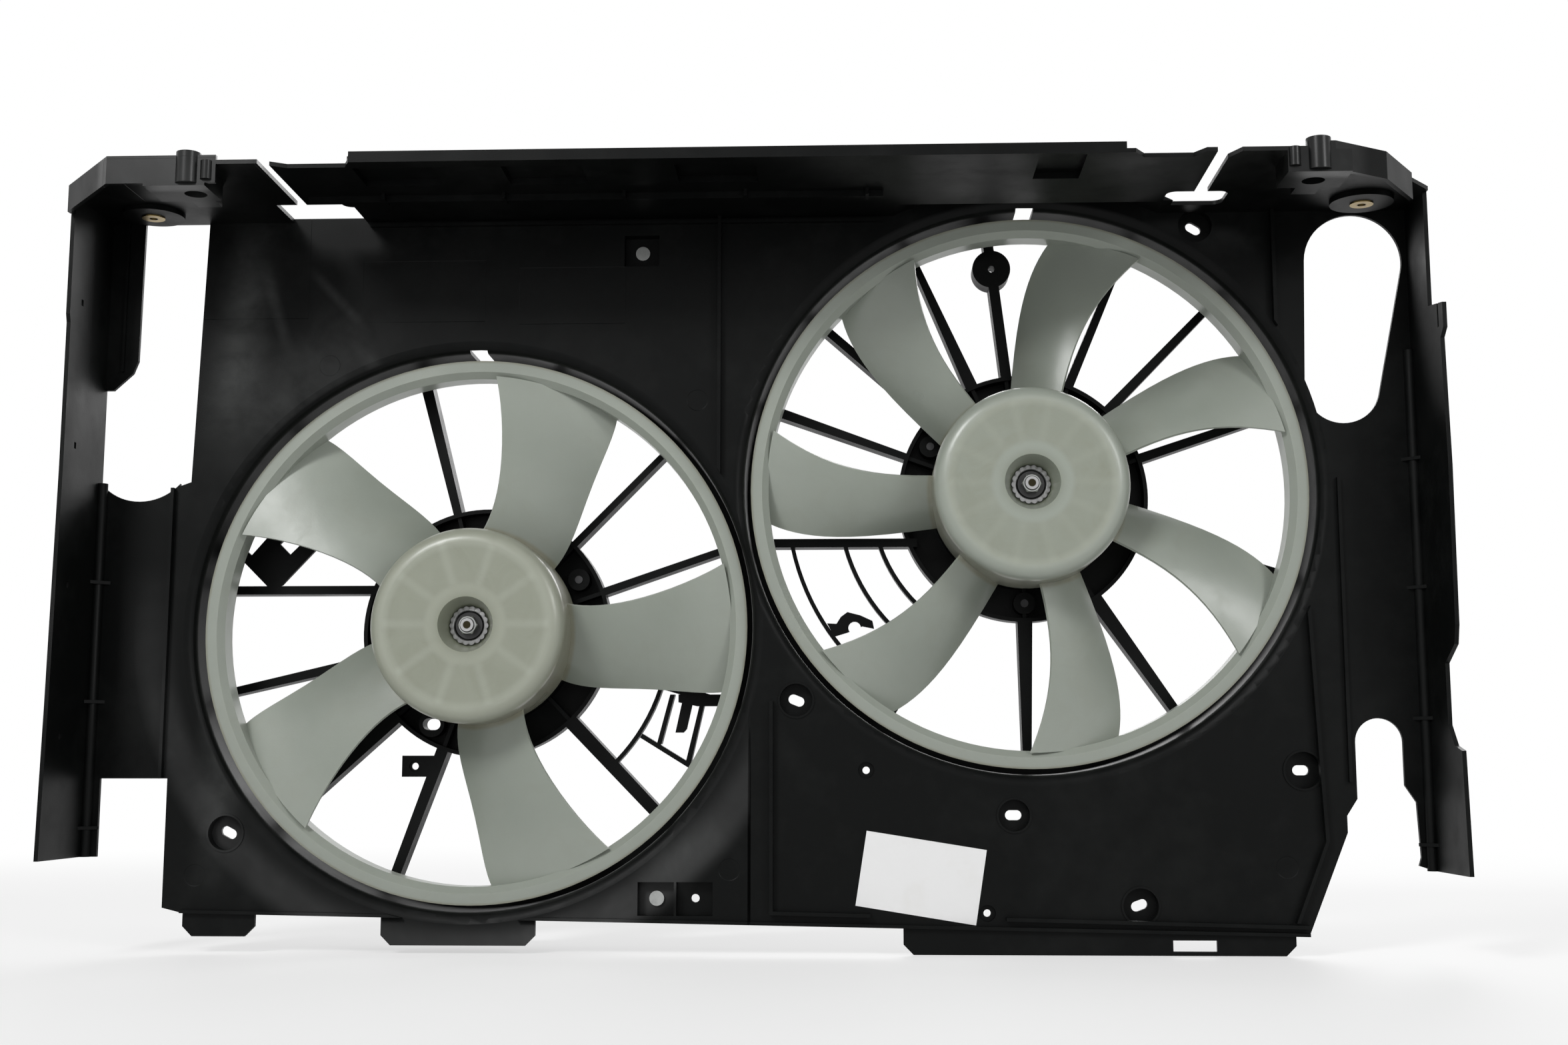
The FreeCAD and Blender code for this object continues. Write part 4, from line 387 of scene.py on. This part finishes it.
black_zinc = bright_metal("black_zinc", (0.07, 0.07, 0.072, 1.0), 0.42)
copper = bright_metal("copper", (0.6, 0.26, 0.12, 1.0), 0.25)
can_paint = coated("black_can_paint", 0.012, 0.32, 700.0)
ferrite = coated("ferrite", 0.03, 0.6, 1200.0)
holder = coated("holder_moulding", 0.02, 0.5, 1500.0)
for side in SIDES:
    dress(can_paint, f"{side}_motor_can", f"{side}_motor_cap", f"{side}_motor_flange")
    dress(black_zinc, f"{side}_motor_screws")
    dress(ferrite, f"{side}_magnets", f"{side}_brushes")
    dress(holder, f"{side}_brush_holder", f"{side}_motor_plug")
    dress(copper, f"{side}_windings", f"{side}_commutator", f"{side}_plug_pins")
    dress(steel, f"{side}_armature_core", f"{side}_front_bearing", f"{side}_rear_bearing")
    dress(shaft_steel(side), f"{side}_motor_shaft")


# --------------------------------------------------------------------------- fans
# Each fan is one moulding in natural nylon, slightly translucent: a cup-shaped hub, swept
# blades and a ring, on a steel bush. Ribs behind the hub's face show through as pale spokes.
def fan_nylon(side, ribs, clarity, face_tint):
    """Cloudy nylon. The distance of a point from a rib's line is its reach from the axis
    times the sine of half the turn between ribs, so a rib keeps one width."""
    shade, light = (0.235, 0.262, 0.225, 1.0), (0.3, 0.325, 0.285, 1.0)
    # The tip colour is painted light towards the ring, the root colour painted shade at the
    # hub.
    painted_tip_light, painted_root_shade = (0.36, 0.385, 0.345, 1.0), (0.21, 0.232, 0.196, 1.0)
    face_tone, rib_tint = (0.24, 0.256, 0.2, 1.0), (0.39, 0.41, 0.35, 1.0)
    # The dish colour is painted shade in the hub's dish.
    painted_dish_shade, seam_tint = (0.13, 0.145, 0.095, 1.0), (0.16, 0.14, 0.08, 1.0)
    dirt_tint = (0.2, 0.205, 0.155, 1.0)
    # Rings on the hub: radii where each one starts, is full, fades and ends.
    face_ring = (0.023, 0.027, 0.049, 0.053)
    rim_ring = (0.046, 0.05, 0.051, 0.055)
    seam_ring = (0.0585, 0.0605, 0.0615, 0.064)
    # Radii where the blades' roots, the hub and its dish start and are full.
    root, hub, dish = (0.09, 0.066), (0.064, 0.059), (0.023, 0.009)
    rib_half, rib_crest, ring_lip = 0.0042, 0.0002, 0.002

    finish = Finish(f"{side}_fan_nylon", IOR=1.53, Subsurface_Weight=0.14,
                    Subsurface_Scale=0.004, Specular_IOR_Level=0.45)
    finish.shader.inputs["Subsurface Radius"].default_value = (1.0, 1.0, 0.8)
    low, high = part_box(f"{side}_fan")
    outer = (high.x - low.x) / 2
    x, _, z, reach = finish.around((low + high) / 2)
    angle = z.math("ARCTAN2", x)
    cloud = finish.noise(18.0, 3.0, 0.5)
    smudge = finish.noise(55.0, 4.0, 0.6, twist=0.8)
    dirt = finish.ramp(smudge * 0.6 + cloud * 0.4, (0.5, 0.0), (0.75, 1.0))

    aside = (angle * (ribs / 2.0)).math("SINE").size() * reach * (2.0 / ribs)
    face = finish.band(reach, *face_ring)
    rib = finish.ease(aside, rib_half, rib_crest) * face * (0.4 + cloud * 0.9) * clarity
    rim = finish.band(reach, *rim_ring)
    # Painted light: the blades grow paler towards the ring.
    tip = finish.ease(reach, outer * 0.68, outer * 0.93) * (0.3 + smudge * 0.5)
    seam = finish.band(reach, *seam_ring) + finish.ease(reach, outer - ring_lip, outer)

    base = finish.blend(cloud, shade, light)
    base = finish.blend(tip * 0.6, base, painted_tip_light)
    # Painted shade: the blades darken towards their roots at the hub.
    base = finish.blend(finish.ease(reach, *root) * 0.5, base, painted_root_shade)
    base = finish.blend(finish.ease(reach, *hub) * 0.9, base, face_tint)
    # The hub's face is darker and yellower here, in uneven patches.
    base = finish.blend(face * (0.25 + smudge * 0.7), base, face_tone)
    base = finish.blend((rib * 0.36 + rim * 0.34).clamp(), base, rib_tint)
    # Painted shade: the hub's dish is darkened.
    base = finish.blend(finish.ease(reach, *dish) * 0.85, base, painted_dish_shade)
    base = finish.blend(seam * (0.2 + smudge * 0.6), base, seam_tint)
    base = finish.blend(dirt * 0.22, base, dirt_tint)
    normal = finish.bump(finish.noise(22.0, 2.0, 0.5), 0.002, 0.35)
    normal = finish.bump(rib + rim, 0.0002, 0.5, over=normal)
    normal = finish.bump(finish.noise(900.0, 2.0, 0.5), 0.00006, 0.4, over=normal)
    return finish.done(Base_Color=base, Roughness=0.24 + cloud * 0.12 + dirt * 0.12,
                       Normal=normal)


dress(fan_nylon("left", 10, 1.0, (0.315, 0.33, 0.268, 1.0)), "left_fan")
dress(fan_nylon("right", 14, 0.45, (0.31, 0.338, 0.293, 1.0)), "right_fan")
dress(steel, "left_fan_bush", "right_fan_bush")


# --------------------------------------------------------------------------- nut and washer
# A hexagon nut with chamfered corners clamps a spring-steel washer with a raised, toothed
# rim into the dish of each hub. Both are zinc plated and turn with the shaft.
def spun(name, node, body, turn, profile, metal):
    """A closed ring about the axis of the CAD piece that it stands for.

    The profile's points give a radius and a depth, each a number or a column over the turn:
    x = centre + radius * cos(turn), z = centre + radius * sin(turn), y = depth. The grid
    wraps round both ways, so it has no seam and no pole.
    """
    centre = centre_of(node)
    one = np.ones_like(turn)
    radius = np.concatenate([part * one for part, depth in profile], axis=1)
    y = np.concatenate([depth * one for part, depth in profile], axis=1)
    x, z = centre.x + radius * np.cos(turn), centre.z + radius * np.sin(turn)
    around, section = radius.shape
    points = np.stack([x, y, z], axis=-1).reshape(-1, 3)
    i, j = np.meshgrid(np.arange(around), np.arange(section), indexing="ij")
    after, beside = (i + 1) % around, (j + 1) % section
    faces = np.stack([i * section + j, i * section + beside, after * section + beside,
                      after * section + j], axis=-1).reshape(-1, 4)
    mesh = bpy.data.meshes.new(name)
    mesh.from_pydata(points.tolist(), [], faces.tolist())
    shape = bmesh.new()
    shape.from_mesh(mesh)
    bmesh.ops.recalc_face_normals(shape, faces=shape.faces)
    shape.to_mesh(mesh)
    shape.free()
    mesh.shade_smooth()
    mesh.set_sharp_from_angle(angle=math.radians(32.0))
    piece = bpy.data.objects.new(name, mesh)
    bpy.context.scene.collection.objects.link(piece)
    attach(piece, body)
    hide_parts(node)
    mesh.materials.append(metal)


def turns_of(count):
    """A column of angles, evenly round."""
    return np.linspace(0.0, 2 * np.pi, count, endpoint=False)[:, None]


def hexagon_nut(side):
    """Turn t, section s. The flats' radius is a / cos(t mod 60 - 30 degrees); the chamfer
    lifts the front edge where that radius passes the round face."""
    low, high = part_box(f"{side}_fan_nut")
    corner = max(high.x - low.x, high.z - low.z) / 2
    face, bore, bevel = corner * 0.84, 0.00415, 0.0005
    chamfer, least = 0.6, 0.0002
    t = turns_of(240)
    flat = corner * math.cos(math.pi / 6) / np.cos(np.mod(t, math.pi / 3) - math.pi / 6)
    rise = np.maximum(flat - face, 0.0) * chamfer + least
    profile = ((bore, low.y + bevel), (bore + bevel, low.y), (face, low.y),
               (flat, low.y + rise), (flat, high.y), (bore, high.y))
    spun(f"{side}_hexagon_nut", f"{side}_fan_nut", f"{side}_rotor", t, profile, steel)


def toothed_washer(side, teeth=18):
    """Turn t, section s. The rim's radius swells with the cosine of teeth * t; the section
    steps up from the flat seat to the rim."""
    low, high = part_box(f"{side}_fan_washer")
    front, rear = low.y, high.y
    bore, seat, step, rim, rear_edge = 0.0043, 0.0082, 0.0091, 0.0097, 0.0098
    root, tooth = 0.0111, 0.0009
    step_rise, rim_rise, tip_rise, tip_drop = 0.0009, 0.0012, 0.0008, 0.0004
    t = turns_of(440)
    tip = root + tooth * (0.5 + 0.5 * np.cos(teeth * t)) ** 0.6
    profile = ((bore, front), (seat, front), (step, front - step_rise),
               (rim, front - rim_rise), (tip, front - tip_rise), (tip, front + tip_drop),
               (rear_edge, rear), (bore, rear))
    spun(f"{side}_toothed_washer", f"{side}_fan_washer", f"{side}_rotor", t, profile,
         washer_steel(side))


def washer_steel(side):
    """Spring steel, bright on the rim and darkened inside it, under the nut, as painted shade.
    """
    shade = (0.0098, 0.0088)
    finish = Finish(f"{side}_washer_steel", Metallic=1.0)
    *_, reach = finish.around(centre_of(f"{side}_fan_washer"))
    cloud = finish.noise(400.0, 3.0, 0.6)
    base = finish.blend(cloud * 0.6, grey(0.36), grey(0.18))
    # Painted shade: near black inside the rim, under the nut.
    base = finish.blend(finish.ease(reach, *shade), base, grey(0.05))
    return finish.done(Base_Color=base, Roughness=0.28 + cloud * 0.2,
                       Normal=finish.bump(cloud, 0.0001, 0.5))


for side in SIDES:
    hexagon_nut(side)
    toothed_washer(side)


# --------------------------------------------------------------------------- label
# A blank label of satin white film on the panel's lower right, with faint creases.
def label_film():
    finish = Finish("label_film")
    crease = finish.noise(60.0, 3.0, 0.5, twist=1.0)
    stain = finish.ramp(finish.noise(35.0, 4.0, 0.6), (0.55, 0.0), (0.8, 1.0))
    base = finish.blend(stain * 0.3, grey(0.83), (0.7, 0.69, 0.65, 1.0))
    return finish.done(Base_Color=base, Roughness=0.45 + crease * 0.1,
                       Normal=finish.bump(crease, 0.0006, 0.3))


dress(label_film(), "blank_label")


# --------------------------------------------------------------------------- floor and light
# A pale floor that the lowest tabs stand on, a white surround and soft lamps.
def seen_white(tree):
    """1 for what the eye, a reflection or a clear piece sees, 0 for what lights the part."""
    path = tree.nodes.new("ShaderNodeLightPath")
    seen = Link(tree, path.outputs["Is Camera Ray"])
    for ray in ("Is Transmission Ray", "Is Glossy Ray"):
        seen = seen.math("MAXIMUM", Link(tree, path.outputs[ray]))
    return seen


def floor():
    """The floor shows white to the eye and to reflections, a little less where the shroud
    shades it, and eases to plain white away from it."""
    half, gap, shaded = 6.0, 0.0005, 0.55
    near, clear = 0.7, 1.8
    level = cad_box[0][2] - gap
    corners = [(-half, -half, level), (half, -half, level), (half, half, level),
               (-half, half, level)]
    mesh = bpy.data.meshes.new("floor")
    mesh.from_pydata(corners, [], [(0, 1, 2, 3)])
    thing = bpy.data.objects.new("floor", mesh)
    bpy.context.scene.collection.objects.link(thing)
    finish = Finish("pale_floor")
    x, y, _ = finish.axes(finish.where)
    far = finish.ease(length(x, y), near, clear)
    finish.done(Base_Color=finish.blend(finish.noise(3.0), grey(0.84), grey(0.88)),
                Roughness=0.6)
    white = finish.tree.nodes.new("ShaderNodeEmission")
    white.inputs["Strength"].default_value = 1.0
    both = finish.tree.nodes.new("ShaderNodeMixShader")
    put(finish.tree, both.inputs[0],
        seen_white(finish.tree) * (shaded + far * (1.0 - shaded)))
    finish.tree.links.new(finish.shader.outputs[0], both.inputs[1])
    finish.tree.links.new(white.outputs[0], both.inputs[2])
    finish.tree.links.new(both.outputs[0], finish.tree.nodes["Material Output"].inputs[0])
    mesh.materials.append(finish.material)


def surround(lit=0.36):
    """White to the eye, and a dimmer white where it lights the part."""
    world = bpy.data.worlds.new("surround")
    bpy.context.scene.world = world
    world.use_nodes = True
    tree = world.node_tree
    sky = tree.nodes["Background"]
    sky.inputs["Color"].default_value = (1.0, 1.0, 1.0, 1.0)
    put(tree, sky.inputs["Strength"], lit + seen_white(tree) * (1.0 - lit))


def lamp(name, place, size, watts, aim=(0.0, 0.0, 0.25)):
    """A square soft lamp that faces a point, the middle of the shroud."""
    light = bpy.data.lights.new(name, "AREA")
    light.size = size
    light.energy = watts
    thing = bpy.data.objects.new(name, light)
    way = np.array(place) - np.array(aim)
    flat = math.hypot(way[0], way[1])
    thing.location = place
    thing.rotation_euler = (math.atan2(flat, way[2]), 0.0, math.atan2(way[0], -way[1]))
    bpy.context.scene.collection.objects.link(thing)


floor()
surround()
lamp("key", (-1.3, -2.2, 1.9), 0.7, 44.0)
lamp("fill", (1.9, -1.9, 1.2), 0.7, 17.0)
lamp("back", (0.6, 2.2, 1.6), 1.5, 26.0)
